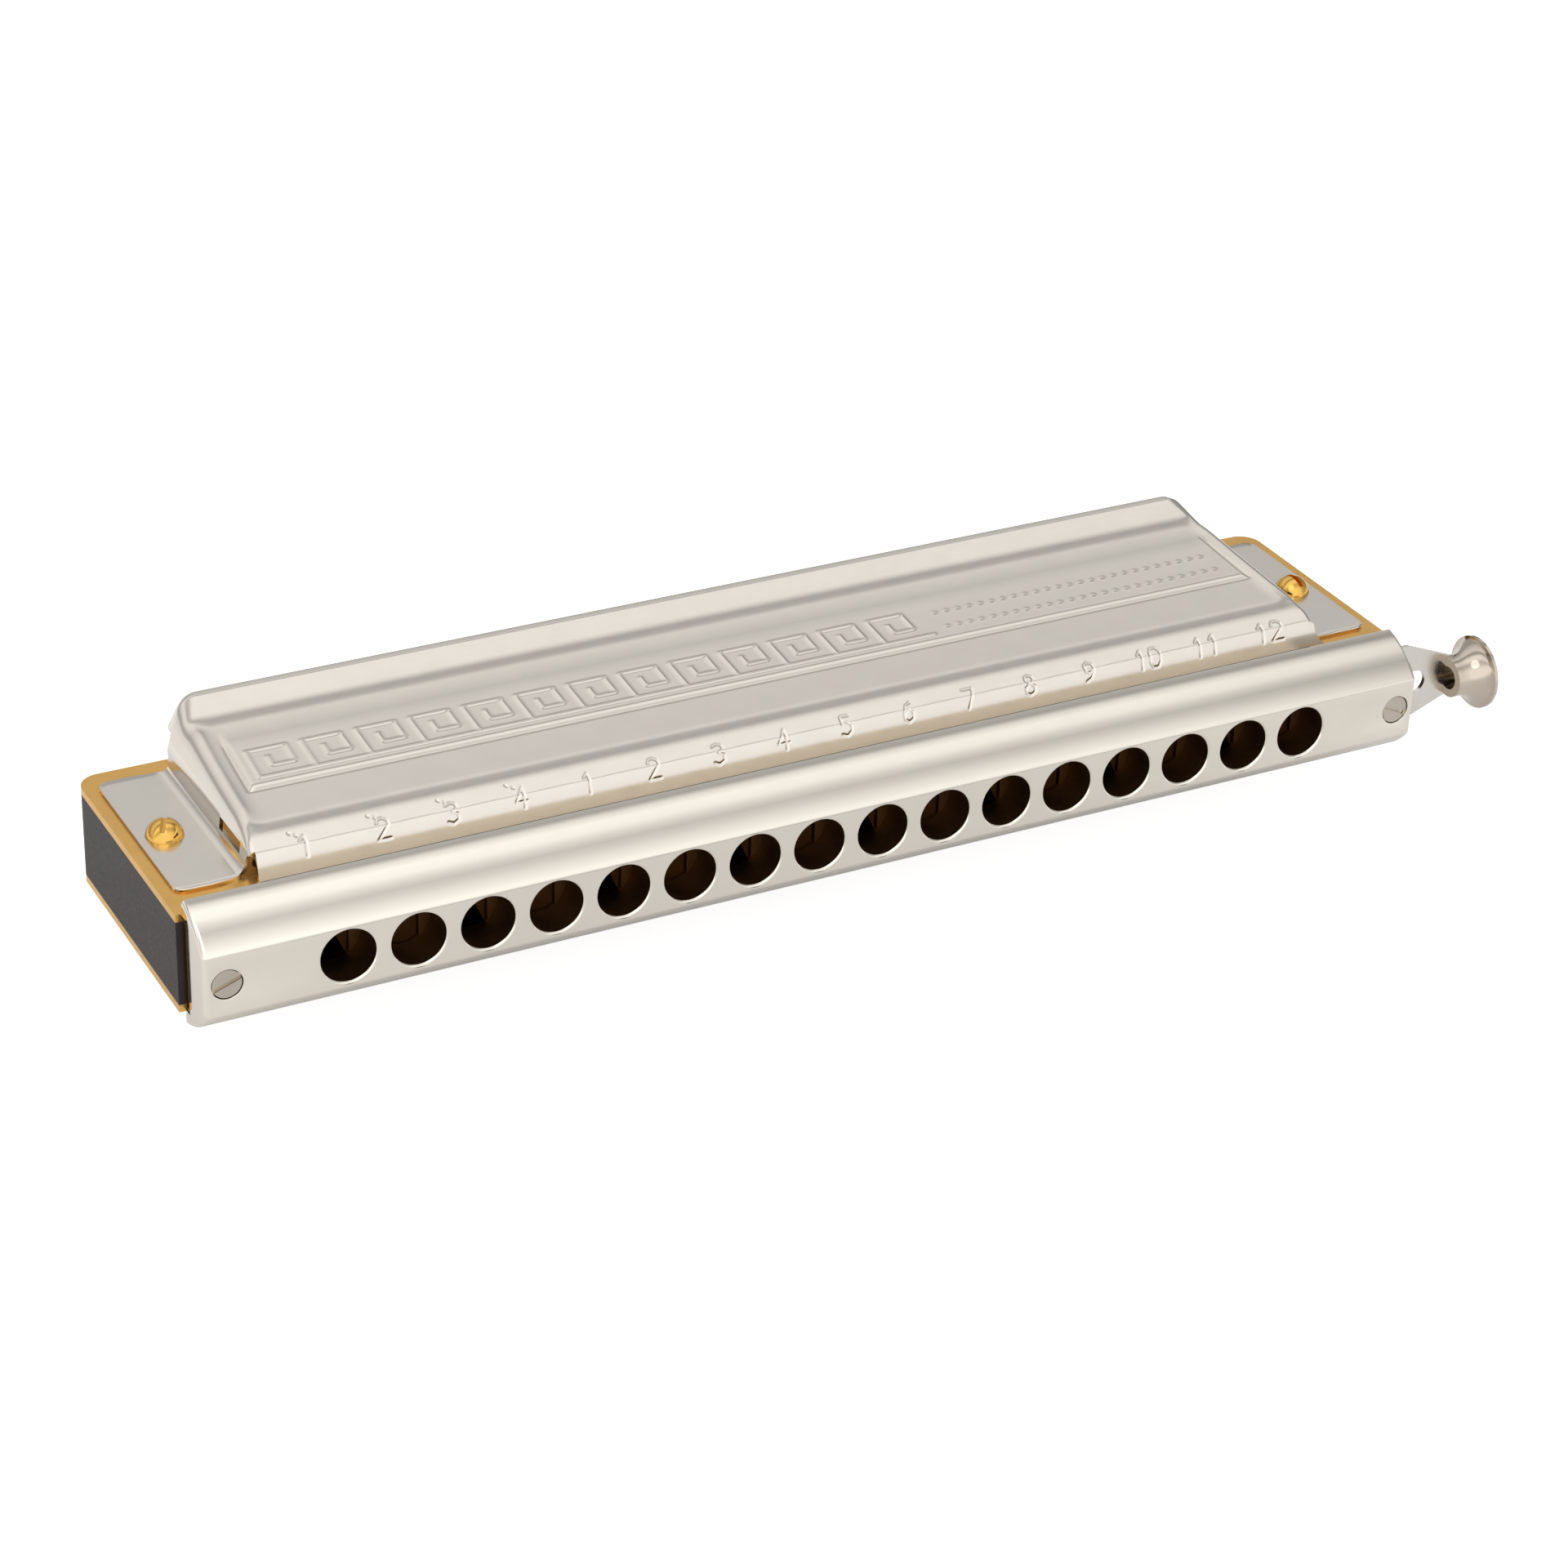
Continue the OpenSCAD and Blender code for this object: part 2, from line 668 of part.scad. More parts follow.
// Upper half of the mouthpiece's section, front to back: its roll is one arc
roll_chord = [mouth_depth, (mouth_h - mouth_flat_h) / 2];
roll_half = asin(norm(roll_chord) / (2 * mouth_roll_r));
roll_lean = atan2(roll_chord[1], roll_chord[0]);
roll_mid = [mouth_roll_r * sin(roll_lean + roll_half),
    mouth_flat_h / 2 - mouth_roll_r * cos(roll_lean + roll_half)];
roll_steps = 14;
mouth_line = [for (i = [0 : roll_steps])
    let (a = roll_lean + roll_half - 2 * roll_half * i / roll_steps)
    roll_mid + mouth_roll_r * [-sin(a), cos(a)]];
mouth_below = [for (i = [roll_steps : -1 : 0]) [mouth_line[i][0], -mouth_line[i][1]]];
module mouth_front() {
    r = mouth_corner_r;
    rect([-mouth_half + r, -mouth_h / 2], [mouth_half - r, mouth_h / 2]);
    rect([-mouth_half, -mouth_h / 2 + r], [mouth_half, mouth_h / 2 - r]);
    for (x = [-mouth_half + r, mouth_half - r], z = [-mouth_h / 2 + r, mouth_h / 2 - r])
        translate([x, z])
            circle(r);
}
module mouthpiece() {
    color("#d8d3c4") difference() {
        intersection() {
            bar_yz(-mouth_half, mouth_half)
                polygon(concat(mouth_line, [[mouth_depth, pocket_half], [channel_y, pocket_half],
                    [channel_y, -pocket_half], [mouth_depth, -pocket_half]], mouth_below));
            sheet_xz(-past, mouth_depth + past)
                mouth_front();
        }
        for (i = all_holes)
            translate([hole_x(i), 0, 0])
                rotate([-90, 0, 0]) {
                    translate([0, 0, -past])
                        cylinder(h = mouth_depth + past, d = hole_d);
                    translate([0, 0, -hole_lead])
                        cylinder(h = 2 * hole_lead, r1 = hole_d / 2 + 2 * hole_lead, r2 = hole_d / 2);
                }
        for (s = [-1, 1])
            translate([s * mouth_screw_x, 0, 0]) {
                rod_y(-past, mouth_depth, mouth_screw_r + head_gap);
                rod_y(-past, head_sink + head_t, mouth_head_r + head_gap);
            }
    }
}

// Folded channel in front of the slide, with a window behind every hole
module slide_channel() {
    color("#bdb7aa") difference() {
        bar_yz(-mouth_half, mouth_half)
            difference() {
                rect([channel_y, -channel_half], [back_face_y, channel_half]);
                rect([channel_y + channel_t, -channel_half + channel_t],
                    [back_face_y + past, channel_half - channel_t]);
            }
        sheet_xz(channel_y - past, channel_y + channel_t + past) {
            for (i = all_holes)
                translate([hole_x(i), 0])
                    intersection() {
                        circle(hole_d / 2);
                        square([window_w + window_gap, hole_d + past], center = true);
                    }
            for (s = [-1, 1])
                translate([s * mouth_screw_x, 0])
                    circle(sleeve_r + slide_gap);
        }
    }
}

// Plate between the slide and the comb, with an upper and a lower window for every hole
module slide_back_plate() {
    color("#bdb7aa")
        sheet_xz(back_face_y, mouth_depth)
            difference() {
                rect([-mouth_half, -channel_half], [mouth_half, channel_half]);
                for (i = all_holes, s = [-1, 1])
                    translate([hole_x(i), s * window_mid])
                        square([window_w + window_gap, window_h], center = true);
                for (s = [-1, 1])
                    translate([s * mouth_screw_x, 0])
                        circle(sleeve_r + slide_gap);
                rect([tip_x - travel - leg_room, tip_z - leg_room],
                    [tip_x + leg_room, tip_z + leg_room]);
            }
}

// One window of the slide. Its outer side leans, and side is the side that leans
module slide_window(side) {
    at_side(side)
        polygon([[-window_w / 2, -window_h / 2], [window_w / 2 - window_lean, -window_h / 2],
            [window_w / 2, window_h / 2], [-window_w / 2, window_h / 2]]);
}
// The slide: holes 1, 3, 5 and so on open downwards at rest, the others upwards,
// and each opens the other way when the slide is pressed in
module slide_outline() {
    half = slide_h / 2;
    difference() {
        polygon([[slide_left, -half], [taper_x, -half], [tongue_x, -tongue_half],
            [tongue_x, tongue_half], [taper_x, half], [slide_left, half]]);
        for (i = all_holes) {
            rest_row = odd(i) ? 1 : -1;
            translate([hole_x(i), rest_row * window_mid])
                mirror([0, rest_row < 0 ? 1 : 0])
                    slide_window(1);
            translate([hole_x(i) + travel, -rest_row * window_mid])
                mirror([0, rest_row > 0 ? 1 : 0])
                    slide_window(-1);
        }
        rect([slide_left - past, -slot_half], [-mouth_screw_x + travel, slot_half]);
        translate([-mouth_screw_x + travel, 0])
            circle(slot_half);
        rect([mouth_screw_x, -slot_half], [right_slot_end, slot_half]);
        for (x = [mouth_screw_x, right_slot_end])
            translate([x, 0])
                circle(slot_half);
        translate([tip_x, tip_z])
            circle(wire_r + tip_gap);
    }
}
module slide_bar() {
    color("#cfc8b8")
        sheet_xz(slide_y, slide_y + slide_t)
            slide_outline();
}

// Turned button: a trumpet with its narrow bored neck on the slide's tongue
module slide_button() {
    color("#d8d0bd") difference() {
        translate([button_x, button_y, 0])
            rotate([0, 90, 0])
                rotate_extrude()
                    difference() {
                        intersection() {
                            rect([0, 0], [button_rim_r, button_len]);
                            translate([0, button_len - dome_r])
                                circle(dome_r, $fn = 96);
                        }
                        rect([button_neck_r, -past], [button_rim_r + past, neck_len]);
                        translate([button_neck_r + flare_r, neck_len])
                            circle(flare_r, $fn = 96);
                        rect([-eps, -past], [button_bore_r, button_bore_l]);
                    }
        translate([button_x - past, slide_y - fit, -button_rim_r])
            cube([tongue_x - button_x + past + fit, slide_t + 2 * fit, 2 * button_rim_r]);
    }
}

// Slotted screws that hold the mouthpiece and the slide's plates to the comb
module mouthpiece_screws() {
    color("#cfc8b8")
        for (s = [-1, 1])
            translate([s * mouth_screw_x, 0, 0])
                rotate([0, s < 0 ? -20 : 25, 0])
                    difference() {
                        union() {
                            rod_y(head_sink, head_sink + head_t - eps, mouth_head_r);
                            rod_y(head_sink, mouth_screw_len, mouth_screw_r);
                        }
                        translate([-mouth_head_r - past, head_sink - past, -mouth_slot_w / 2])
                            cube([2 * mouth_head_r + 2 * past, past + mouth_slot_d, mouth_slot_w]);
                    }
}
// Rubber sleeves on those screws, which the slide stops against
module screw_sleeves() {
    color("#2c2a29")
        for (s = [-1, 1])
            translate([s * mouth_screw_x, 0, 0])
                difference() {
                    rod_y(channel_y + fit, mouth_depth - fit, sleeve_r);
                    rod_y(0, mouth_depth + past, mouth_screw_r + fit);
                }
}

// Path of the spring wire: anchor leg, coil round the pin, then the leg to the slide
coil_steps = 30;
tip_bend = 0.7;
wire_path = [
    [coil_x - coil_r, coil_back_y, pocket_top - 0.6],
    [coil_x - coil_r, coil_back_y, (pocket_top + coil_z) / 2],
    for (i = [0 : coil_steps])
        let (a = coil_start + coil_turn * i / coil_steps)
        [coil_x + coil_r * cos(a), coil_back_y - coil_pitch * coil_turn / 360 * i / coil_steps,
            coil_z + coil_r * sin(a)],
    [tip_x + tip_bend * sin(leg_dir), leg_y, tip_z - tip_bend * cos(leg_dir)],
    [tip_x + tip_bend * 0.3 * sin(leg_dir), leg_y - tip_bend * 0.3, tip_z - tip_bend * 0.3 * cos(leg_dir)],
    [tip_x, leg_y - tip_bend, tip_z],
    [tip_x, slide_y + tip_gap, tip_z]];
// Tube of radius r round a path, with a ring of sides points at each point of the path
module tube(path, r, sides) {
    n = len(path);
    way = [for (i = [0 : n - 1]) unit(path[min(i + 1, n - 1)] - path[max(i - 1, 0)])];
    first = unit(cross(way[0], [0, 1, 0]));
    out = [for (i = 0, v = first; i < n;
        i = i + 1, v = i < n ? unit(v - (v * way[i]) * way[i]) : v) v];
    rings = [for (i = [0 : n - 1], k = [0 : sides - 1])
        let (a = 360 * k / sides) path[i] + r * (cos(a) * out[i] + sin(a) * cross(way[i], out[i]))];
    walls = [for (i = [0 : n - 2], k = [0 : sides - 1])
        let (a = i * sides + k, b = i * sides + (k + 1) % sides)
        each [[a, a + sides, b + sides], [a, b + sides, b]]];
    caps = [[for (k = [0 : sides - 1]) k], [for (k = [sides - 1 : -1 : 0]) (n - 1) * sides + k]];
    polyhedron(points = rings, faces = concat(walls, caps), convexity = 8);
}
module slide_spring() {
    color("#a8a49c") tube(wire_path, wire_r, 8);
}
module spring_pin() {
    color("#c2933f")
        translate([coil_x, 0, coil_z])
            rod_y(mouth_depth + fit, mouth_depth + pocket_depth + pocket_pin_depth - 0.2, pin_r);
}

on_its_base() comb();
on_its_base() reed_plate();  // top_reed_plate
on_its_base() lower_side() reed_plate();  // bottom_reed_plate
on_its_base() blow_reeds();  // top_blow_reeds
on_its_base() draw_reeds();  // top_draw_reeds
on_its_base() lower_side() blow_reeds();  // bottom_blow_reeds
on_its_base() lower_side() draw_reeds();  // bottom_draw_reeds
on_its_base() reed_rivets();  // top_reed_rivets
on_its_base() lower_side() reed_rivets();  // bottom_reed_rivets
on_its_base() outer_valves();  // top_outer_valves
on_its_base() inner_valves();  // top_inner_valves
on_its_base() lower_side() outer_valves();  // bottom_outer_valves
on_its_base() lower_side() inner_valves();  // bottom_inner_valves
on_its_base() plate_screws_set();  // top_plate_screws
on_its_base() lower_side() plate_screws_set();  // bottom_plate_screws
on_its_base() top_cover();
on_its_base() bottom_cover();
on_its_base() cover_bolts();
on_its_base() cover_nuts();
on_its_base() mouthpiece();
on_its_base() slide_channel();
on_its_base() slide_back_plate();
on_its_base() mouthpiece_screws();
on_its_base() screw_sleeves();
on_its_base() slide_spring();
on_its_base() spring_pin();
on_its_base() slide_bar();
on_its_base() slide_button();
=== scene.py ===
"""Chromatic harmonica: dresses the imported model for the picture.

Sizes are in millimetres in the frame of the hole row: X along the row towards the button,
Y back from the mouthpiece's front face, Z up from the holes' axis. The function at() turns
such a place into the model's own frame, in metres.
"""
import math

import bmesh
import bpy
import numpy as np
from mathutils import Matrix, Vector


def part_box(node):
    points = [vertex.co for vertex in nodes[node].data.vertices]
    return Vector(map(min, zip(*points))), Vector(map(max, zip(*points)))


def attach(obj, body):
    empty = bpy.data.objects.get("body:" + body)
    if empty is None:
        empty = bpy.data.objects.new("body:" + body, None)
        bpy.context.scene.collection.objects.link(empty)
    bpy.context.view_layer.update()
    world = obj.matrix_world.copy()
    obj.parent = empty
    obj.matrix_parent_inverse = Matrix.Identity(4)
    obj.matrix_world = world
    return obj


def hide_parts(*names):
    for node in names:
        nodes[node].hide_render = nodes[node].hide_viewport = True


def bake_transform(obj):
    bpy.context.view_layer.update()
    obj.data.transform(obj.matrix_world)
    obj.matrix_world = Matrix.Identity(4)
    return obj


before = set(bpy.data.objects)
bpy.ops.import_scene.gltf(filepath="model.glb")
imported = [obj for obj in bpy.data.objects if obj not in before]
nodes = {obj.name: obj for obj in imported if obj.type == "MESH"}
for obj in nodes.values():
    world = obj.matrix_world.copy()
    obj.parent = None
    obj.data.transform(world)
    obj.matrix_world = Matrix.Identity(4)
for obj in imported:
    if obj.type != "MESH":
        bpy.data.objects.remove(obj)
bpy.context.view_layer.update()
MM = 0.001

# The hole row's frame: the mouthpiece is centred on it and its front face is at y = 0
mouth_low, mouth_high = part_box("mouthpiece")
ROW = Vector(((mouth_low.x + mouth_high.x) / 2, mouth_low.y, (mouth_low.z + mouth_high.z) / 2))


def at(x, y, z):
    """A place in the hole row's frame, in metres of the model's frame."""
    return ROW + Vector((x, y, z)) * MM


# Sizes that the pieces below share
HOLES = 16
PITCH = 9.4
HOLE_R = 3.65
ROW_HALF = (HOLES - 1) / 2 * PITCH
MOUTH_HALF = 89.45
MOUTH_DEPTH = 6.9
PLATE_TOP = 7.0
SHEET = 0.5


# Outlines

def unit(v):
    return v / np.linalg.norm(v)


def rounded(corners):
    """Open outline through corners given as (across, up, radius, steps)."""
    pts = [np.array(c[:2], float) for c in corners]
    out = [pts[0]]
    for i in range(1, len(corners) - 1):
        radius, steps = corners[i][2:]
        u, v = unit(pts[i - 1] - pts[i]), unit(pts[i + 1] - pts[i])
        half = math.acos(float(u @ v)) / 2
        centre = pts[i] + unit(u + v) * radius / math.sin(half)
        start = pts[i] + u * radius / math.tan(half) - centre
        turn = math.pi - 2 * half
        way = -1 if u[0] * v[1] - u[1] * v[0] > 0 else 1
        for k in range(steps + 1):
            a = way * turn * k / steps
            c, s = math.cos(a), math.sin(a)
            out.append(centre + np.array([start[0] * c - start[1] * s, start[0] * s + start[1] * c]))
    out.append(pts[-1])
    return np.array(out)


def lengths(line):
    """Distance along an outline at each of its points."""
    return np.concatenate([[0], np.cumsum(np.linalg.norm(np.diff(line, axis=0), axis=1))])


# Meshes

def finish_mesh(name, bm, material, sharp=35, merge=1e-7):
    """Makes an object of a bmesh whose points are in metres, smooth but for its sharp edges."""
    bmesh.ops.remove_doubles(bm, verts=bm.verts, dist=merge)
    bmesh.ops.recalc_face_normals(bm, faces=bm.faces)
    mesh = bpy.data.meshes.new(name)
    bm.to_mesh(mesh)
    bm.free()
    mesh.shade_smooth()
    mesh.set_sharp_from_angle(angle=math.radians(sharp))
    obj = bpy.data.objects.new(name, mesh)
    bpy.context.scene.collection.objects.link(obj)
    mesh.materials.append(material)
    return obj


# Materials

def new_material(name):
    mat = bpy.data.materials.new(name)
    mat.use_nodes = True
    return mat, mat.node_tree, mat.node_tree.nodes["Principled BSDF"]


def add(tree, kind, **settings):
    node = tree.nodes.new(kind)
    for key, value in settings.items():
        if key in node.inputs:
            node.inputs[key].default_value = value
        else:
            setattr(node, key, value)
    return node


def ramp(tree, source, stops):
    node = tree.nodes.new("ShaderNodeValToRGB")
    while len(node.color_ramp.elements) < len(stops):
        node.color_ramp.elements.new(0.5)
    for element, (place, value) in zip(node.color_ramp.elements, stops):
        element.position = place
        colour = value if isinstance(value, tuple) else (value, value, value)
        element.color = (*colour, 1)
    tree.links.new(source, node.inputs["Fac"])
    return node.outputs["Color"]


def place(tree, scale):
    """Object coordinates in millimetres, stretched by scale."""
    coord = tree.nodes.new("ShaderNodeTexCoord")
    mapping = tree.nodes.new("ShaderNodeMapping")
    mapping.inputs["Scale"].default_value = [1000 * s for s in scale]
    tree.links.new(coord.outputs["Object"], mapping.inputs["Vector"])
    return mapping.outputs["Vector"]


def noise(tree, vector, scale, detail=3.0):
    node = tree.nodes.new("ShaderNodeTexNoise")
    node.inputs["Scale"].default_value = scale
    node.inputs["Detail"].default_value = detail
    tree.links.new(vector, node.inputs["Vector"])
    return node.outputs["Fac"]


def metal(name, colour, shade, rough, grain=(1, 1, 1), grain_scale=1.2, bump=0.0, stain=0.25):
    """Plated or bare metal: a colour that drifts slightly, and roughness with a fine grain."""
    mat, tree, shader = new_material(name)
    shader.inputs["Metallic"].default_value = 1
    broad = noise(tree, place(tree, (1, 1, 1)), stain)
    dark = tuple(c * shade for c in colour)
    tree.links.new(ramp(tree, broad, [(0.3, dark), (0.7, colour)]), shader.inputs["Base Color"])
    fine = noise(tree, place(tree, grain), grain_scale, 6)
    low, high = rough
    tree.links.new(ramp(tree, fine, [(0.3, low), (0.7, high)]), shader.inputs["Roughness"])
    if bump:
        relief = tree.nodes.new("ShaderNodeBump")
        relief.inputs["Strength"].default_value = 1
        relief.inputs["Distance"].default_value = bump * MM
        tree.links.new(fine, relief.inputs["Height"])
        tree.links.new(relief.outputs["Normal"], shader.inputs["Normal"])
    return mat


def plastic(name, colour, shade, rough, grain_scale, bump):
    mat, tree, shader = new_material(name)
    where = place(tree, (1, 1, 1))
    broad = noise(tree, where, 0.3)
    dark = tuple(c * shade for c in colour)
    tree.links.new(ramp(tree, broad, [(0.3, dark), (0.7, colour)]), shader.inputs["Base Color"])
    fine = noise(tree, where, grain_scale, 4)
    tree.links.new(ramp(tree, fine, [(0.3, rough[0]), (0.7, rough[1])]), shader.inputs["Roughness"])
    relief = tree.nodes.new("ShaderNodeBump")
    relief.inputs["Strength"].default_value = 1
    relief.inputs["Distance"].default_value = bump * MM
    tree.links.new(fine, relief.inputs["Height"])
    tree.links.new(relief.outputs["Normal"], shader.inputs["Normal"])
    return mat


def multiply(tree, first, second):
    node = add(tree, "ShaderNodeMath", operation="MULTIPLY")
    for i, value in enumerate((first, second)):
        if isinstance(value, float):
            node.inputs[i].default_value = value
        else:
            tree.links.new(value, node.inputs[i])
    return node.outputs[0]


def darken(mat, limits, colour):
    """Gives a material another colour where object coordinates, in metres, are within limits."""
    tree = mat.node_tree
    base = tree.nodes["Principled BSDF"].inputs["Base Color"]
    coord = tree.nodes.new("ShaderNodeTexCoord")
    split = tree.nodes.new("ShaderNodeSeparateXYZ")
    tree.links.new(coord.outputs["Object"], split.inputs[0])
    inside = 1.0
    for axis, low, high in limits:
        test = add(tree, "ShaderNodeMath", operation="COMPARE")
        tree.links.new(split.outputs[axis], test.inputs[0])
        test.inputs[1].default_value = (low + high) / 2
        test.inputs[2].default_value = (high - low) / 2
        inside = multiply(tree, inside, test.outputs[0])
    mix = add(tree, "ShaderNodeMix", data_type="RGBA")
    tree.links.new(inside, mix.inputs[0])
    tree.links.new(base.links[0].from_socket, mix.inputs[6])
    mix.inputs[7].default_value = (*colour, 1)
    tree.links.new(mix.outputs[2], base)


SATIN = metal("satin_nickel", (0.8, 0.748, 0.676), 0.97, (0.16, 0.21), (0.25, 3, 3), 1.5, 0.0008)
POLISHED = metal("polished_nickel", (0.88, 0.825, 0.735), 0.98, (0.07, 0.11), (0.5, 1, 1), 0.8)
SLIDE = metal("ground_nickel", (0.78, 0.74, 0.68), 0.95, (0.2, 0.28), (4, 1, 0.4), 1.5, 0.001)
BUTTON = metal("turned_nickel", (0.64, 0.56, 0.47), 0.96, (0.08, 0.14), (6, 1, 1), 1.0)
BRASS = metal("brushed_brass", (0.9, 0.53, 0.15), 0.9, (0.24, 0.36), (0.5, 4, 4), 1.5, 0.002)
REED = metal("reed_brass", (0.86, 0.64, 0.3), 0.93, (0.22, 0.32), (3, 0.3, 1), 1.5)
BOLT = metal("polished_brass", (0.85, 0.5, 0.12), 0.9, (0.1, 0.16), (1, 1, 1), 1.0)
SCREW = metal("worn_nickel", (0.6, 0.54, 0.46), 0.85, (0.14, 0.2), (1, 1, 1), 1.0)
# Slide channel and back plate: dull brass, darkened far below its own colour as painted shade of the
# harmonica's inside
INNER = metal("dull_brass", (0.16, 0.085, 0.035), 0.85, (0.4, 0.5), (1, 3, 3), 1.5)
# Walls of the mouthpiece's holes: dark brown in place of the polished metal, as painted shade inside the
# holes
BORE = metal("bore_wall", (0.2, 0.12, 0.06), 0.8, (0.35, 0.45), (1, 1, 1), 1.5)
STEEL = metal("spring_steel", (0.56, 0.55, 0.53), 0.9, (0.2, 0.3), (1, 1, 1), 2.0)
COMB = plastic("comb_plastic", (0.04, 0.03, 0.031), 0.85, (0.42, 0.55), 3.0, 0.03)
COMB.node_tree.nodes["Principled BSDF"].inputs["Specular IOR Level"].default_value = 0.3
VALVE = plastic("valve_film", (0.78, 0.74, 0.62), 0.95, (0.35, 0.45), 1.5, 0.005)
RUBBER = plastic("sleeve_rubber", (0.025, 0.024, 0.024), 0.9, (0.6, 0.75), 2.0, 0.02)

NODE_MATERIALS = {
    "comb": COMB,
    "top_reed_plate": BRASS,
    "bottom_reed_plate": BRASS,
    "cover_bolts": BOLT,
    "cover_nuts": BOLT,
    "slide_channel": INNER,
    "slide_back_plate": INNER,
    "slide_bar": SLIDE,
    "slide_button": BUTTON,
    "mouthpiece_screws": SCREW,
    "screw_sleeves": RUBBER,
    "slide_spring": STEEL,
    "spring_pin": BRASS,
    "top_cover": SATIN,
    "bottom_cover": SATIN,
    "mouthpiece": POLISHED,
}
for name in nodes:
    if "reeds" in name:
        NODE_MATERIALS[name] = REED
    elif "valves" in name:
        NODE_MATERIALS[name] = VALVE
    elif "rivets" in name or "plate_screws" in name:
        NODE_MATERIALS[name] = BRASS
for name, material in NODE_MATERIALS.items():
    mesh = nodes[name].data
    mesh.materials.clear()
    mesh.materials.append(material)

# Dark colour in place of deep shade: on the reed plates in front of the covers, where it is
# right only from the photograph's camera and shows as a stripe from above, and on the slide
# behind the holes
GAP_LEFT = -78.0
GAP_RIGHT = 78.0
GAP_FRONT = -1.0
GAP_BACK = 10.4
SLIDE_DARK_START = -120.0
SLIDE_DARK_END = 89.3
GAP_BROWN = (0.035, 0.022, 0.012)
SLIDE_BROWN = (0.1, 0.06, 0.03)
gap_low = at(GAP_LEFT, GAP_FRONT, 0)
gap_high = at(GAP_RIGHT, GAP_BACK, 0)
darken(BRASS, [("X", gap_low.x, gap_high.x), ("Y", gap_low.y, gap_high.y)], GAP_BROWN)
darken(SLIDE, [("X", at(SLIDE_DARK_START, 0, 0).x, at(SLIDE_DARK_END, 0, 0).x)], SLIDE_BROWN)


# Cover sheet: its section from front to back, then its end profile outward and down

FOOT_Y = 10.0
FRONT_Y = 10.3
FRONT_LEAN = 0.8
EDGE_H = 3.5
FIELD_Y = FRONT_Y + 5.0
RIDGE_Y = 43.0
RIDGE_H = 9.5
RIDGE_R = 1.2
RIDGE_RISE = math.radians(26)
FIELD_BACK_H = 7.3
LIP_FALL = math.radians(80)
LIP_LEN = 3.2
CROWN_H = 9.39


def cover_section():
    """Section of the cover's outer face as (y, z over the reed plate)."""
    mid = np.array([RIDGE_Y, RIDGE_H - RIDGE_R])
    rise_end = mid + RIDGE_R * np.array([-math.sin(RIDGE_RISE), math.cos(RIDGE_RISE)])
    slope = math.tan(RIDGE_RISE)
    field_back_y = rise_end[0] - (rise_end[1] - FIELD_BACK_H) / slope
    lip_start = mid + RIDGE_R * np.array([math.sin(LIP_FALL), math.cos(LIP_FALL)])
    lip_end = lip_start + LIP_LEN * np.array([math.cos(LIP_FALL), -math.sin(LIP_FALL)])
    fall = math.tan(LIP_FALL)
    run = (lip_start[1] - rise_end[1] + (lip_start[0] - rise_end[0]) * fall) / (slope + fall)
    line = rounded([
        (FOOT_Y, 0),
        (FRONT_Y + FRONT_LEAN, EDGE_H, 0.45, 6),
        (FRONT_Y + 3.2, 4.7, 8, 7),
        (FIELD_Y, 5.2, 8, 7),
        (field_back_y, FIELD_BACK_H, 9, 10),
        (rise_end[0] + run, rise_end[1] + run * slope, RIDGE_R, 14),
        tuple(lip_end)])
    line[:, 1] = np.minimum(line[:, 1], CROWN_H)
    return line


SECTION = cover_section()
SECTION_V = lengths(SECTION)
BACK_Y = SECTION[-1, 0]
FIELD_BACK_Y = 38.2


def v_at(y):
    """Length along the section at a distance from the front."""
    return float(np.interp(y, SECTION[:, 0], SECTION_V))


# End profile, by a number that runs over one part of it from each whole number to the next:
# 0 roll, 1 leaning upper wall, 2 lower wall, 3 concave foot, 4 tab, 5 the tab's rounded end
FIELD_END = 76.4
FOOT_X = 80.4
FOOT_R = 1.3
LOW_LEAN = math.radians(6)
HIGH_LEAN = math.radians(27)
ROLL_TURN = math.pi / 2 - HIGH_LEAN
FOOT_TURN = math.pi / 2 - LOW_LEAN
ROLL_CUT = 1 - math.sin(HIGH_LEAN)
ROLL_HEIGHTS = (4.2, 5.5, 7.2, 9.2)
ROLL_RADII = (1.0, 1.6, 1.7, 3.0)
SMALL_ROLL_R = 0.4
FOOT_TOP = SHEET + FOOT_R * (1 - math.sin(LOW_LEAN))
WALL_BEND = 3.6
BEND_X = FOOT_X - FOOT_R * math.cos(LOW_LEAN) - (WALL_BEND - FOOT_TOP) * math.tan(LOW_LEAN)
LIP_BASE = 5.3
TAB_END = 88.5
TAB_R = 1.6
TAB_FRONT = 11.4
TAB_BACK = 41.0
TAB_MID = (TAB_FRONT + TAB_BACK) / 2
NOTCH = 1.0
NOTCH_REACH = 3.0
BACK_NOTCH = 1.2
RIDGE_END_R = 2.8
END_REACH = 0.99
FLANGE_END = 0.15
VENT_FRONT = 14.4
VENT_BACK = 21.4
VENT_BOTTOM = 2.85
CREST = 0.42
CREST_W = 2.4
DISH = 0.2
EDGE_R = 0.22
EDGE_DROP = 0.12
CREST_START = 13.5
CREST_RISE = 5
CREST_FALL = 4
FOOT_CURVE = 0.45
LEAST_WALL = 0.15
PULL_START = 60
PULL_SPAN = 16


def smooth(x):
    x = np.clip(x, 0, 1)
    return x * x * (3 - 2 * x)


def pull(far):
    """Share of the ends' changes to the plain section, from none in the middle of the row."""
    return smooth((far - PULL_START) / PULL_SPAN)


V_EDGE = v_at(FRONT_Y + FRONT_LEAN)


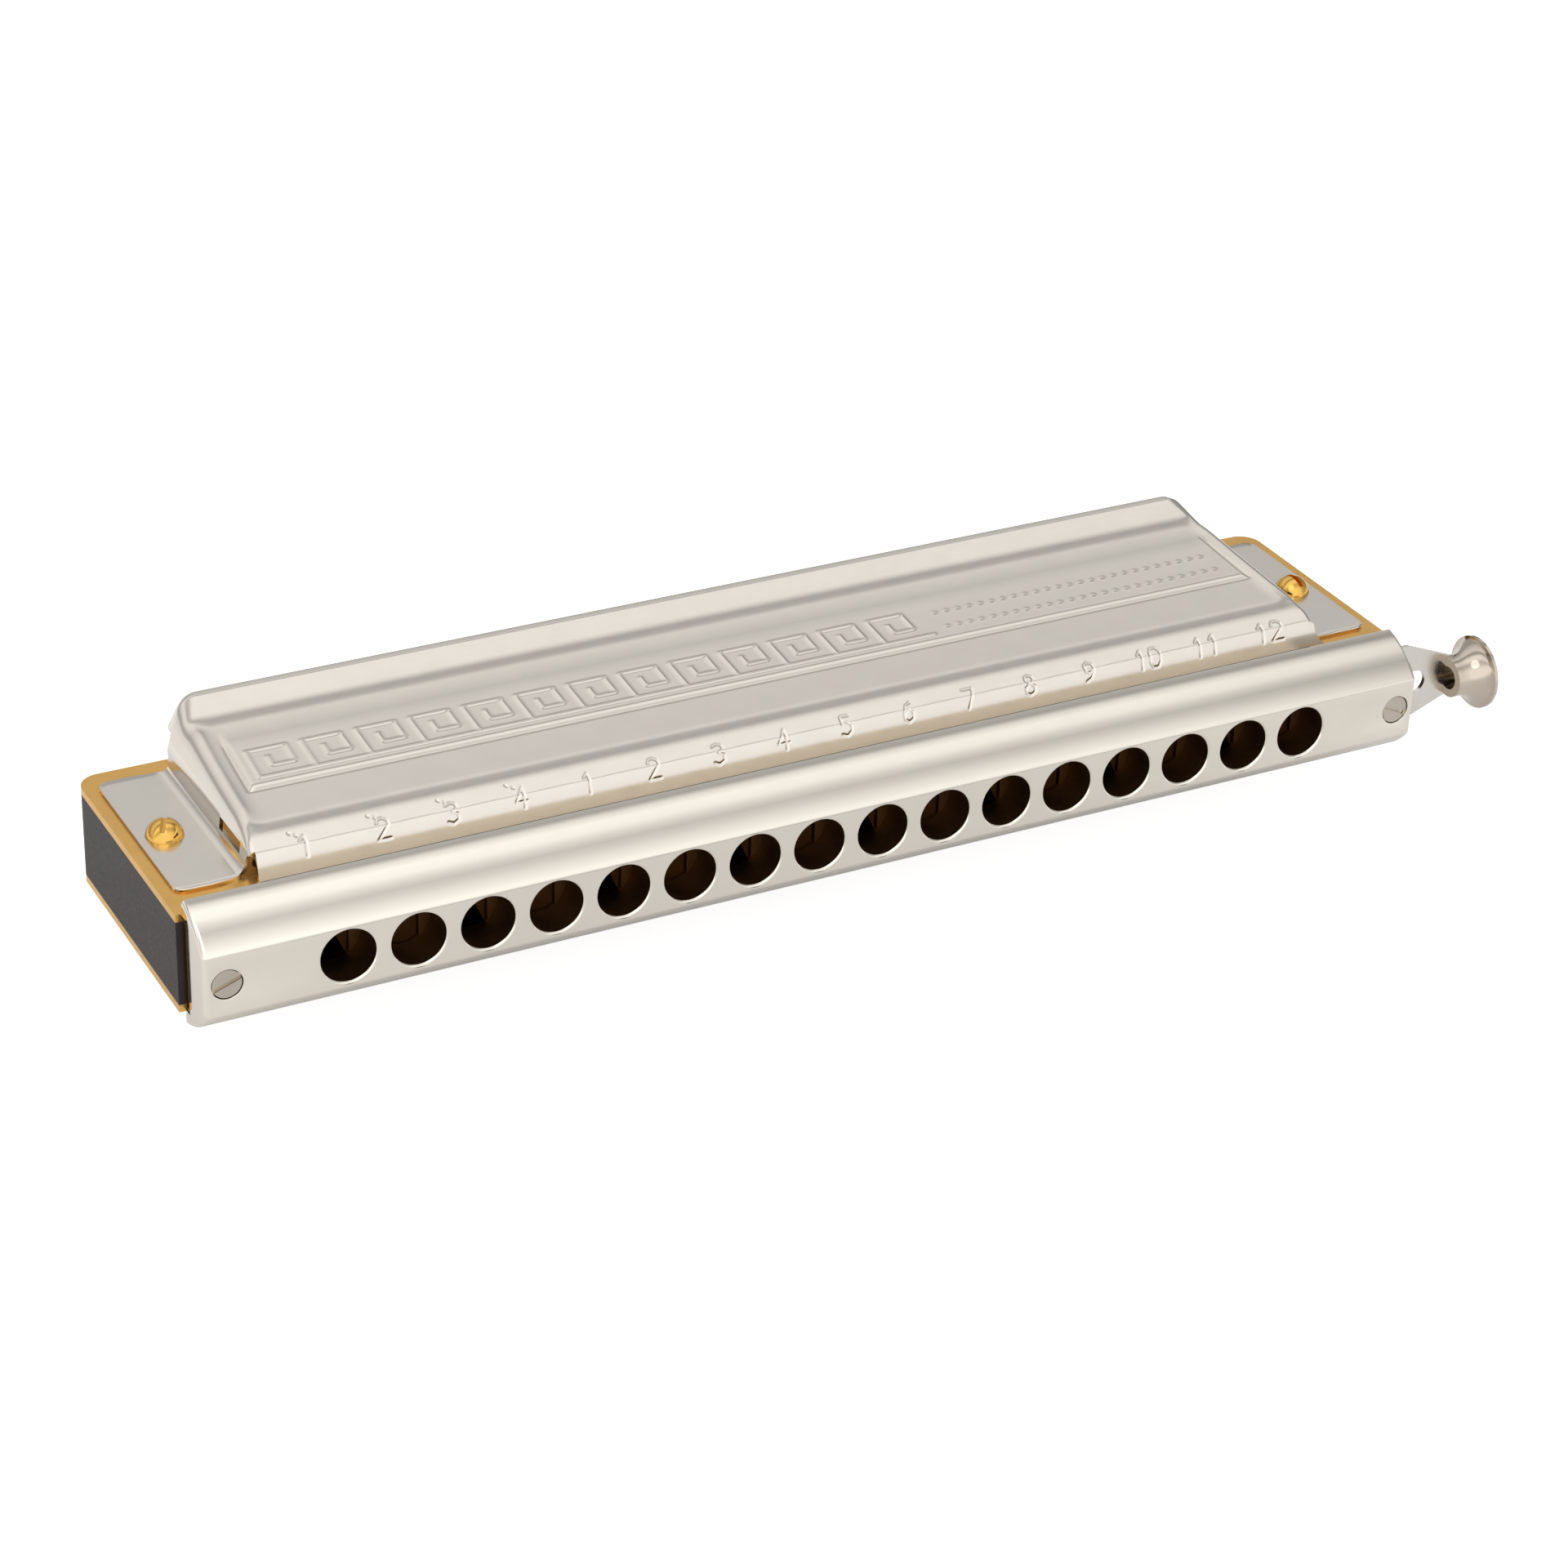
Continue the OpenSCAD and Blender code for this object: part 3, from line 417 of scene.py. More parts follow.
def section_at(far, v):
    """The section's distance back and height, with the field's dish and the crest at its ends."""
    y = np.interp(v, SECTION_V, SECTION[:, 0])
    h = np.interp(v, SECTION_V, SECTION[:, 1])
    along = np.clip((y - FIELD_Y) / (FIELD_BACK_Y - FIELD_Y), 0, 1)
    field = smooth((y - CREST_START) / CREST_RISE) * smooth((FIELD_BACK_Y + 1 - y) / CREST_FALL)
    crest = CREST * field * np.clip((far - FIELD_END + CREST_W) / CREST_W, 0, 1) ** 2
    return y, h + crest - 4 * DISH * along * (1 - along)


def wall_x(h):
    """Distance out of the end wall's lower part and foot at a height."""
    low = np.maximum(FOOT_TOP - h, 0)
    return BEND_X + np.maximum(WALL_BEND - h, 0) * math.tan(LOW_LEAN) + FOOT_CURVE * low * low


def rim_drop(part, y):
    """How far the tab's upper edge is rounded down."""
    rim = np.maximum(y - TAB_BACK + EDGE_R, TAB_FRONT + EDGE_R - y) * smooth(part[4] / 0.1)
    rim = np.maximum(rim, (part[5] - 1 + EDGE_R / TAB_R) * TAB_R)
    return EDGE_DROP * (np.clip(rim, 0, EDGE_R) / EDGE_R) ** 2


def notched(far, y, side, rear):
    """Distance back, pulled in at the end wall's front corner on the left and at its back corners."""
    low = smooth((far - FIELD_END - 1) / 2) * (1 - smooth((far - FIELD_END - 3.2) / 1.3))
    front = 1 - smooth((y - TAB_FRONT) / NOTCH_REACH)
    back = 1 - smooth((TAB_BACK - y) / NOTCH_REACH)
    y = y + NOTCH * low * front * (y > TAB_FRONT - 1e-4) * (side < 0)
    return y - BACK_NOTCH * low * back * np.where(rear, 0, 1)


def sheet_point(u, v):
    """Outer face of the upper cover: u along the row and over its ends, v along the section."""
    side = np.where(u < 0, -1.0, 1.0)
    far = np.abs(u)
    y, h = section_at(far, v)
    rear = y > TAB_BACK + 1e-4
    full = np.maximum(h, ROLL_HEIGHTS[0])
    r = np.interp(full, ROLL_HEIGHTS, ROLL_RADII)
    r = np.where(rear, np.clip((h - LIP_BASE) / ROLL_CUT, SMALL_ROLL_R, r), r)
    high = full - r * ROLL_CUT
    mid_x = BEND_X - (high - WALL_BEND) * math.tan(HIGH_LEAN) - r * math.cos(HIGH_LEAN)
    part = [np.clip(far - FIELD_END - k, 0, 1) for k in range(6)]
    a = ROLL_TURN * part[0]
    x = np.minimum(far, FIELD_END) + (mid_x - FIELD_END) * pull(far) + r * np.sin(a)
    z = h - r * (1 - np.cos(a)) * np.clip(h / EDGE_H, 0, 1)
    top = h - r * ROLL_CUT
    bend = np.minimum(np.where(rear, LIP_BASE, WALL_BEND), top - LEAST_WALL)
    drop = (top - bend) * part[1]
    low_drop = (bend - FOOT_TOP) * part[2]
    x = x + drop * math.tan(HIGH_LEAN) + low_drop * math.tan(LOW_LEAN)
    foot = LOW_LEAN + FOOT_TURN * part[3]
    x = x + FOOT_R * (math.cos(LOW_LEAN) - np.cos(foot))
    z = z - drop - low_drop - FOOT_R * (np.sin(foot) - math.sin(LOW_LEAN))
    x = x + (TAB_END - TAB_R - x) * part[4] + TAB_R * np.sin(math.pi / 2 * part[5])
    flange = np.clip((V_EDGE - v) / 0.5, 0, 1) * part[0] / FLANGE_END * (side > 0)
    x = x + (wall_x(h) - x) * np.clip(flange, 0, 1)
    z = z - rim_drop(part, y)
    half = TAB_MID - TAB_FRONT
    corner = TAB_R * (1 - np.cos(math.pi / 2 * part[5]))
    y = np.where(part[5] > 0, TAB_MID + (y - TAB_MID) * (half - corner) / half, y)
    y = notched(far, y, side, rear)
    round_y = np.clip(y - BACK_Y + RIDGE_END_R, 0, RIDGE_END_R) * END_REACH
    x = x - (RIDGE_END_R - np.sqrt(RIDGE_END_R ** 2 - round_y ** 2)) * pull(far)
    return np.stack([side * x, y, z], axis=1)


def sheet_normal(u, v):
    """Outward normal of sheet_point, from small steps along both directions."""
    step = 0.02
    du = sheet_point(u + step, v) - sheet_point(u - step, v)
    dv = sheet_point(u, np.minimum(v + step, SECTION_V[-1])) - sheet_point(u, np.maximum(v - step, 0))
    n = np.cross(du, dv)
    return n / np.maximum(np.linalg.norm(n, axis=1), 1e-12)[:, None]


# Relief on the cover: a raised panel with a plain key pattern, and the holes' numbers

CELL = 1.2
PANEL_V = v_at(22.9)
PANEL_LEFT = -73.6
PANEL_RIGHT = 74.6
PANEL_RISE = 0.25
BEVEL = 0.3
GROOVE = 0.18
KEY_UNIT = 1.5
KEY_STEP = 5 * KEY_UNIT
KEY_COUNT = 13
KEY_LEFT = -72.0
KEY_V = PANEL_V + 1.5
KEY_RISE = 0.16
KEY_HALF_W = 0.5
KEY_LINE = [(0, 0), (0, 4), (3.6, 4), (3.6, 1.4), (1.6, 1.4), (1.6, 2.8)]
BEAD_LEFT = 28.2
BEAD_STEP = 1.8
BEAD_COUNT = 25
BEAD_ROWS = (1.8, 5.4)
BEAD_HALF = 0.8
BEAD_RISE = 0.14
DIGIT_H = 2.9
DIGIT_W = 1.6
DIGIT_GAP = 0.7
DIGIT_LOW = V_EDGE - 1.7
DIGIT_CUT = 0.08
DIGIT_HALF_W = 0.19
LOW_MARKS = 4
DIGITS = {
    "0": [(1, 0), (3, 0), (4, 1.5), (4, 4.5), (3, 6), (1, 6), (0, 4.5), (0, 1.5), (1, 0)],
    "1": [(0.8, 4.6), (2.4, 6), (2.4, 0)],
    "2": [(0, 4.6), (0.8, 5.8), (2.2, 6), (3.6, 5.2), (3.6, 3.8), (0, 0), (4, 0)],
    "3": [(0, 5.4), (1.6, 6), (3.3, 5.5), (3.5, 4.2), (1.6, 3.3), (3.6, 2.4), (3.7, 0.9), (1.8, 0),
          (0, 0.7)],
    "4": [(3, 0), (3, 6), (0, 1.8), (4, 1.8)],
    "5": [(3.6, 6), (0.6, 6), (0.3, 3.4), (2.2, 3.8), (3.8, 2.8), (3.8, 1.2), (2.2, 0), (0.2, 0.6)],
    "6": [(3.4, 5.8), (1.4, 5), (0.2, 2.8), (0.4, 0.9), (2, 0), (3.7, 0.9), (3.6, 2.8), (2, 3.5),
          (0.4, 2.5)],
    "7": [(0, 6), (4, 6), (1.4, 0)],
    "8": [(2, 3.3), (0.5, 4.3), (0.7, 5.5), (2, 6), (3.3, 5.5), (3.5, 4.3), (2, 3.3), (0.2, 2.2),
          (0.4, 0.7), (2, 0), (3.6, 0.7), (3.8, 2.2), (2, 3.3)],
    "9": [(0.6, 0.2), (2.6, 1), (3.8, 3.2), (3.6, 5.1), (2, 6), (0.3, 5.1), (0.4, 3.2), (2, 2.5),
          (3.6, 3.5)],
}


def hole_x(i):
    return i * PITCH - ROW_HALF


def segments(points):
    return [(*a, *b) for a, b in zip(points, points[1:])]


def digit_lines():
    """Strokes of the numbers over the holes, as (u, v, u, v)."""
    lines = []
    for i in range(HOLES):
        label = str(i + 1 if i < LOW_MARKS else i + 1 - LOW_MARKS)
        width = len(label) * DIGIT_W + (len(label) - 1) * DIGIT_GAP
        for k, digit in enumerate(label):
            left = hole_x(i) - width / 2 + k * (DIGIT_W + DIGIT_GAP)
            lines += segments([(left + p * DIGIT_W / 4, DIGIT_LOW + q * DIGIT_H / 6)
                               for p, q in DIGITS[digit]])
        if i < LOW_MARKS:
            for k in (0, 1):
                dot = (hole_x(i) - 1.5 + 0.75 * k, V_EDGE + 2.0 - 0.5 * k)
                lines += segments([dot, (dot[0] + 0.15, dot[1] - 0.2)])
    return lines


def key_lines():
    """Strokes of the key pattern: a rail, and a hook that turns in on itself at each step."""
    lines = segments([(KEY_LEFT, KEY_V), (KEY_LEFT + KEY_COUNT * KEY_STEP, KEY_V)])
    for k in range(KEY_COUNT):
        lines += segments([(KEY_LEFT + k * KEY_STEP + p * KEY_UNIT, KEY_V + q * KEY_UNIT)
                           for p, q in KEY_LINE])
    return lines


def near_lines(u, v, lines):
    """Distance of each point to the nearest stroke."""
    best = np.full(len(u), 1e3)
    for u0, v0, u1, v1 in lines:
        du, dv = u1 - u0, v1 - v0
        t = np.clip(((u - u0) * du + (v - v0) * dv) / (du * du + dv * dv), 0, 1)
        best = np.minimum(best, np.hypot(u - u0 - t * du, v - v0 - t * dv))
    return best


def relief(u, v, numbered):
    """Height of the relief over the plain sheet."""
    inside = np.minimum(np.minimum(u - PANEL_LEFT, PANEL_RIGHT - u), v - PANEL_V)
    fade = smooth((PANEL_V + 12.5 - v) / 3)
    height = PANEL_RISE * smooth(inside / BEVEL + 0.5) * fade
    height -= GROOVE * smooth(1 - np.abs(inside + 0.5) / BEVEL) * fade
    height += KEY_RISE * smooth(1 - near_lines(u, v, key_lines()) / KEY_HALF_W)
    for row in BEAD_ROWS:
        place = np.clip(np.round((u - BEAD_LEFT) / BEAD_STEP), 0, BEAD_COUNT - 1)
        away = np.abs(u - BEAD_LEFT - place * BEAD_STEP) + np.abs(v - KEY_V - row + 0.6)
        height += BEAD_RISE * smooth(1 - away / BEAD_HALF)
    if numbered:
        height -= DIGIT_CUT * smooth(1.3 - near_lines(u, v, digit_lines()) / DIGIT_HALF_W)
    return height


def spread(low, high, step):
    return np.linspace(low, high, max(1, round((high - low) / step)) + 1)


def thinned(values, keep, gap):
    """Sorted values without those closer than gap to one before them or to a kept one."""
    out = list(keep)
    for value in values:
        if min(abs(value - other) for other in out) > gap:
            out.append(value)
    return sorted(out)


# Grid lines beside the panel's border, measured inward from it
BORDER_LINES = (-0.85, -0.5, -0.18, 0.18)


def sheet_lines():
    """Grid lines of the cover sheet along both directions."""
    border = [PANEL_LEFT + x for x in BORDER_LINES] + [PANEL_RIGHT - x for x in BORDER_LINES]
    outer = spread(72.6, FIELD_END, 0.38)
    centre = thinned(np.concatenate([np.arange(KEY_LEFT, 72.1, CELL), [-FIELD_END, FIELD_END],
                                     outer, -outer]), border, 0.12)
    ends = np.concatenate([[FLANGE_END / 2, FLANGE_END], spread(0, 1, 0.1)[2:],
                           spread(1, 2, 0.34)[1:], [2.3, 2.6, VENT_BOTTOM, 3.0],
                           spread(3, 4, 0.125)[1:], [4.1, 4.5, 5.0],
                           spread(5, 5.8, 0.2)[1:], [5.87, 5.94, 6.0]]) + FIELD_END
    across = np.concatenate([-ends[::-1], centre, ends])
    marks = [v_at(y) for y in (TAB_FRONT, TAB_FRONT + EDGE_R, VENT_FRONT, VENT_BACK,
                               TAB_BACK - EDGE_R, TAB_BACK)]
    marks += [PANEL_V + x for x in BORDER_LINES]
    marks += [0.0, V_EDGE, SECTION_V[-1]]
    along = thinned(np.concatenate([np.arange(PANEL_V + CELL / 4, PANEL_V + 8.5, CELL / 2), SECTION_V,
                                    spread(0, V_EDGE, 0.5), spread(SECTION_V[-2], SECTION_V[-1], 0.3),
                                    spread(v_at(TAB_BACK), SECTION_V[-2], 0.45),
                                    spread(V_EDGE, SECTION_V[-1], 1.2)]),
                    marks, 0.14)
    return across, np.array(along)


def in_sheet(u, v):
    """Whether the cover has metal at a cell's middle."""
    far = abs(u) - FIELD_END
    y = np.interp(v, SECTION_V, SECTION[:, 0])
    if y < TAB_FRONT:
        return far < FLANGE_END or (u > 0 and v > V_EDGE and far < 3)
    if y > TAB_BACK:
        return far < 2
    vent = VENT_BOTTOM > far > 2
    return not (vent and VENT_FRONT < y < VENT_BACK)


def refine(bm, boxes, cuts, axis):
    """Divides the edges that run along one axis inside the boxes (u0, u1, v0, v1)."""
    chosen = []
    for edge in bm.edges:
        a, b = edge.verts[0].co, edge.verts[1].co
        if a.z or b.z or abs(a[1 - axis] - b[1 - axis]) > 1e-6:
            continue
        u, v = (a.x + b.x) / 2, (a.y + b.y) / 2
        if any(u0 < u < u1 and v0 < v < v1 for u0, u1, v0, v1 in boxes):
            chosen.append(edge)
    bmesh.ops.subdivide_edges(bm, edges=chosen, cuts=cuts, use_grid_fill=True)


def sheet_faces(bm):
    """Flat faces of the sheet at (u, v, layer), layer 0 outside and 1 inside, joined at the rims."""
    across, along = sheet_lines()
    outer, inner = {}, {}
    rim = {}
    for i in range(len(across) - 1):
        for j in range(len(along) - 1):
            if not in_sheet((across[i] + across[i + 1]) / 2, (along[j] + along[j + 1]) / 2):
                continue
            cell = [(i, j), (i + 1, j), (i + 1, j + 1), (i, j + 1)]
            for layer, verts in enumerate((outer, inner)):
                for key in cell:
                    if key not in verts:
                        verts[key] = bm.verts.new((across[key[0]], along[key[1]], layer))
                loop = [verts[key] for key in cell]
                bm.faces.new(loop if layer == 0 else loop[::-1])
            for a, b in zip(cell, cell[1:] + cell[:1]):
                rim[frozenset((a, b))] = (a, b) if frozenset((a, b)) not in rim else None
    for pair in rim.values():
        if pair:
            a, b = pair
            bm.faces.new([outer[b], outer[a], inner[a], inner[b]])


def make_cover(name, way, numbered):
    """A formed cover: one sheet with an inner and an outer face, closed round all its edges."""
    bm = bmesh.new()
    sheet_faces(bm)
    if numbered:
        boxes = [(hole_x(i) - 2.3, hole_x(i) + 2.3, DIGIT_LOW - 0.6, V_EDGE + 2.8) for i in range(HOLES)]
        refine(bm, boxes, 9, 0)
        refine(bm, boxes, 3, 1)
    panel = [(KEY_LEFT - CELL, 74, KEY_V - 0.9, KEY_V + 6.9)]
    refine(bm, panel, 3, 0)
    refine(bm, panel, 1, 1)
    co = np.array([vert.co for vert in bm.verts])
    u, v, layer = co.T
    normal = sheet_normal(u, v)
    height = np.where(layer > 0.5, -SHEET, relief(u, v, numbered))
    at_tab = np.abs(u) > FIELD_END
    height = np.where(at_tab & (layer < 0.5), 0, height)
    place = sheet_point(u, v) + normal * height[:, None]
    place[:, 2] = np.clip(place[:, 2], 0.005, CROWN_H)
    place[:, 2] = (place[:, 2] + PLATE_TOP) * way
    for vert, (x, y, z) in zip(bm.verts, place):
        vert.co = at(x, y, z)
    return finish_mesh(name, bm, SATIN, sharp=38)


for name, way, numbered in (("top_cover_sheet", 1, True), ("bottom_cover_sheet", -1, False)):
    cover = make_cover(name, way, numbered)
    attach(cover, "root")
    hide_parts(name.replace("_sheet", ""))


# Mouthpiece: a solid bar with rolled upper and lower faces, sixteen bores and two screw recesses

MOUTH_H = 17.8
FLAT_H = 8.6
FOLD_R = 0.8
MOUTH_ROLL_R = 12.0
POCKET_Y = 5.4
POCKET_HALF = 6.75
LEAD = 0.38
HOLE_STEPS = 64
SCREW_X = 86.4
RECESS_R = 2.07
RECESS_Y = 1.15
SHANK_R = 1.12
SUPPORT = 0.03
END_R = 0.65
LOW_END_R = 0.5
END_STEPS = 6
RIM_STEPS = 5
RECESS_EDGE = 0.1
ROLL_STEPS = 26
FOLD_STEPS = 6


def mouth_section():
    """Outer section as (y, z) from the upper back edge over the front to the lower back edge."""
    back, fold = np.array([MOUTH_DEPTH, MOUTH_H / 2]), np.array([0.0, FLAT_H / 2])
    chord = back - fold
    half = math.asin(np.linalg.norm(chord) / (2 * MOUTH_ROLL_R))
    lean = math.atan2(chord[1], chord[0])
    a = lean + half
    mid = fold + MOUTH_ROLL_R * np.array([math.sin(a), -math.cos(a)])
    angles = [lean - half + 2 * half * k / ROLL_STEPS for k in range(ROLL_STEPS + 1)]
    roll = [mid + MOUTH_ROLL_R * np.array([-math.sin(t), math.cos(t)]) for t in angles]
    turn = math.pi / 2 - a
    reach = FOLD_R * math.tan(turn / 2)
    cut = [p for p in roll if p[1] > fold[1] + reach]
    centre = np.array([FOLD_R, fold[1] - reach])
    turns = [turn * k / FOLD_STEPS for k in range(FOLD_STEPS, -1, -1)]
    bend = [centre + FOLD_R * np.array([-math.cos(t), math.sin(t)]) for t in turns]
    upper = cut + bend + [bend[-1] - np.array([0, SUPPORT])]
    return np.array(upper + [p * (1, -1) for p in upper[::-1]])


def ring(bm, x, y, r, steps=HOLE_STEPS):
    return [bm.verts.new(at(x + r * math.cos(2 * math.pi * k / steps), y,
                            r * math.sin(2 * math.pi * k / steps))) for k in range(steps)]


def bridge(bm, a, b, closed=True):
    """Quads between two rows of points."""
    n = len(a)
    for k in range(n if closed else n - 1):
        bm.faces.new([a[k], a[(k + 1) % n], b[(k + 1) % n], b[k]])


def fill(bm, loops):
    """Flat face with holes inside closed loops of points."""
    edges = []
    for loop in loops:
        for a, b in zip(loop, loop[1:] + loop[:1]):
            edges.append(bm.edges.get((a, b)) or bm.edges.new((a, b)))
    bmesh.ops.triangle_fill(bm, use_beauty=True, edges=edges)


def bore(bm, x, profile):
    """Turned hole along Y through rings given as (y, radius). Returns its first and last ring."""
    rings = [ring(bm, x, y, r) for y, r in profile]
    for a, b in zip(rings, rings[1:]):
        bridge(bm, a, b)
    return rings[0], rings[-1]


def end_rows(bm, line):
    """Rows of points round both rounded ends, by side and step from the flat length outward."""
    along = np.gradient(line, axis=0)
    normals = np.stack([along[:, 1], -along[:, 0]], axis=1)
    normals /= np.linalg.norm(normals, axis=1)[:, None]
    radius = END_R + (LOW_END_R - END_R) * smooth((-line[:, 1] - 3) / 5)
    rows = {}
    for side in (-1, 1):
        for k in range(END_STEPS + 1):
            t = math.pi / 2 * k / END_STEPS
            inset = radius * (1 - math.cos(t))
            x = side * (MOUTH_HALF - radius * (1 - math.sin(t)))
            spot = line - normals * inset[:, None]
            spot[:, 0] = np.minimum(spot[:, 0], MOUTH_DEPTH)
            rows[side, k] = [bm.verts.new(at(x[i], *spot[i])) for i in range(len(line))]
        for k in range(END_STEPS):
            bridge(bm, rows[side, k], rows[side, k + 1], closed=False)
    return rows


def mouth_bores(bm):
    """The sixteen holes with rounded rims, then the two screw recesses."""
    quarter = [math.pi / 2 * k / RIM_STEPS for k in range(RIM_STEPS + 1)]
    rim = [(LEAD * (1 - math.cos(t)), HOLE_R + LEAD * (1 - math.sin(t))) for t in quarter]
    hole = [(0, HOLE_R + LEAD + SUPPORT / 2)] + rim + [(LEAD + 0.1, HOLE_R), (POCKET_Y, HOLE_R)]
    edge = RECESS_EDGE
    recess = [(0, RECESS_R + edge), (edge * 0.3, RECESS_R + edge * 0.3), (edge, RECESS_R),
              (RECESS_Y, RECESS_R), (RECESS_Y, SHANK_R), (POCKET_Y, SHANK_R)]
    bores = [bore(bm, hole_x(i), hole) for i in range(HOLES)]
    return bores + [bore(bm, s * SCREW_X, recess) for s in (-1, 1)]


def darken_bores(mouth):
    """Gives the walls of the sixteen holes their own material behind the rims: a dark brown that paints
    the shade inside the holes.
    """
    mouth.data.materials.append(BORE)
    for face in mouth.data.polygons:
        x, y, z = (face.center - ROW) / MM
        nearest = min(math.hypot(x - hole_x(i), z) for i in range(HOLES))
        if nearest < HOLE_R + 0.02 and LEAD < y < POCKET_Y - 0.01:
            face.material_index = 1


def make_mouthpiece():
    bm = bmesh.new()
    line = mouth_section()
    n = len(line)
    rows = end_rows(bm, line)
    left, right = rows[-1, 0], rows[1, 0]
    flat_top = n // 2 - 1
    flat_low = n // 2
    for i in range(n - 1):
        if i != flat_top:
            bm.faces.new([left[i], left[i + 1], right[i + 1], right[i]])
    bores = mouth_bores(bm)
    front = [left[flat_top], left[flat_low], right[flat_low], right[flat_top]]
    fill(bm, [front] + [b[0] for b in bores])
    ends = {s: [bm.verts.new(at(s * MOUTH_HALF, y, z)) for y, z in (
        (MOUTH_DEPTH, -POCKET_HALF), (POCKET_Y, -POCKET_HALF),
        (POCKET_Y, POCKET_HALF), (MOUTH_DEPTH, POCKET_HALF))] for s in (-1, 1)}
    bridge(bm, ends[-1][:2], ends[1][:2], closed=False)
    bridge(bm, ends[-1][2:], ends[1][2:], closed=False)
    fill(bm, [[ends[-1][1], ends[-1][2], ends[1][2], ends[1][1]]] + [b[1] for b in bores])
    for s in (-1, 1):
        fill(bm, [rows[s, END_STEPS] + ends[s]])
    for i, k in ((0, 3), (n - 1, 0)):
        bars = [rows[-1, m][i] for m in range(END_STEPS, -1, -1)]
        bars += [rows[1, m][i] for m in range(END_STEPS + 1)]
        bm.faces.new(bars + [ends[1][k], ends[-1][k]])
    mouth = finish_mesh("mouthpiece_bar", bm, POLISHED, sharp=38)
    darken_bores(mouth)
    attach(mouth, "root")
    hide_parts("mouthpiece")


make_mouthpiece()


# Slide spring: a copy of the imported spring's mesh in the same place, with the imported one hidden


def make_spring():
    solid = nodes["slide_spring"]
    spring = bpy.data.objects.new("slide_spring_wire", solid.data.copy())
    bpy.context.scene.collection.objects.link(spring)
    bpy.context.view_layer.update()
    spring.matrix_world = solid.matrix_world.copy()
    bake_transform(spring)
    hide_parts("slide_spring")


make_spring()


# Camera, as fitted to the photograph's holes and edges

CAMERA_AZIMUTH = -28.824
CAMERA_ELEVATION = 29.345
CAMERA_ROLL = 2.302
CAMERA_DISTANCE = 510.27
CAMERA_TARGET = (-10.456, 0, 10.467)
FOCAL_PX = 4876.7
IMAGE_PX = 1920
SENSOR = 36


def make_camera():
    azimuth, elevation = math.radians(CAMERA_AZIMUTH), math.radians(CAMERA_ELEVATION)
    back = Vector((math.sin(azimuth) * math.cos(elevation),
                   -math.cos(azimuth) * math.cos(elevation), math.sin(elevation)))
    right = Vector((0, 0, 1)).cross(back).normalized()
    up = back.cross(right)
    roll = math.radians(CAMERA_ROLL)
    x_axis = math.cos(roll) * right + math.sin(roll) * up
    y_axis = math.cos(roll) * up - math.sin(roll) * right
    data = bpy.data.cameras.new("camera")
    data.sensor_width = SENSOR
    data.lens = FOCAL_PX / IMAGE_PX * SENSOR
    data.clip_start = 0.01
    data.clip_end = 10
    camera = bpy.data.objects.new("camera", data)
    camera.matrix_world = Matrix.LocRotScale(
        at(*CAMERA_TARGET) + back * CAMERA_DISTANCE * MM,
        Matrix((x_axis, y_axis, back)).transposed(), None)
    bpy.context.scene.collection.objects.link(camera)
    bpy.context.scene.camera = camera


make_camera()


# Studio: a white floor under strip lights that run along the row, brighter on the left

FLOOR_SIZE = 3.0
FLOOR_GLOW = 0.8
FLOOR_NEAR = 0.15
FLOOR_FAR = 0.48
FLOOR_FADE = (0.06, 0.25)
# Light by the angle round the row's direction, in degrees from the back horizon over the top
STRIPS = [(0, 0.55), (8, 0.42), (22, 0.42), (29, 0.6), (33, 0.68), (40, 0.76), (47, 0.84), (54, 0.86),
          (60, 0.5), (68, 0.42), (75, 0.88), (83, 1.1), (94, 1.05), (102, 0.82), (111, 0.63),
          (119, 0.74), (128, 0.92), (138, 1.1), (160, 1.12), (180, 1.12)]
# The strips' share by the direction's part along the row
ALONG = [(-1.0, 1.1), (0.0, 1.15), (0.25, 1.05), (0.35, 1.0), (0.57, 0.93), (0.65, 0.8), (0.75, 0.5),
         (1.0, 0.5)]
KEY_POWER = 1.0
KEY_SIZE = 0.7
KEY_PLACE = (-0.35, -0.45, 0.9)


def make_floor():
    bm = bmesh.new()
    bmesh.ops.create_grid(bm, x_segments=1, y_segments=1, size=FLOOR_SIZE / 2)
    mat, tree, shader = new_material("floor_paper")
    shader.inputs["Base Color"].default_value = (0.62, 0.62, 0.62, 1)
    shader.inputs["Roughness"].default_value = 0.9
    shader.inputs["Specular IOR Level"].default_value = 0.0
    coord = tree.nodes.new("ShaderNodeTexCoord")
    away = add(tree, "ShaderNodeVectorMath", operation="LENGTH")
    tree.links.new(coord.outputs["Object"], away.inputs[0])
    fade = add(tree, "ShaderNodeMapRange")
    fade.inputs["From Min"].default_value, fade.inputs["From Max"].default_value = FLOOR_FADE
    fade.inputs["To Min"].default_value = FLOOR_NEAR
    fade.inputs["To Max"].default_value = FLOOR_FAR
    tree.links.new(away.outputs["Value"], fade.inputs["Value"])
    path = tree.nodes.new("ShaderNodeLightPath")
    mirrored = add(tree, "ShaderNodeMath", operation="MAXIMUM")
    tree.links.new(path.outputs["Is Glossy Ray"], mirrored.inputs[0])
    tree.links.new(path.outputs["Is Transmission Ray"], mirrored.inputs[1])
    glow = add(tree, "ShaderNodeMath", operation="ADD")
    tree.links.new(multiply(tree, path.outputs["Is Camera Ray"], FLOOR_GLOW), glow.inputs[0])
    tree.links.new(multiply(tree, mirrored.outputs[0], fade.outputs["Result"]), glow.inputs[1])
    shader.inputs["Emission Color"].default_value = (1, 1, 1, 1)
    tree.links.new(glow.outputs[0], shader.inputs["Emission Strength"])
    floor = finish_mesh("floor", bm, mat)
    floor.location.z = 0


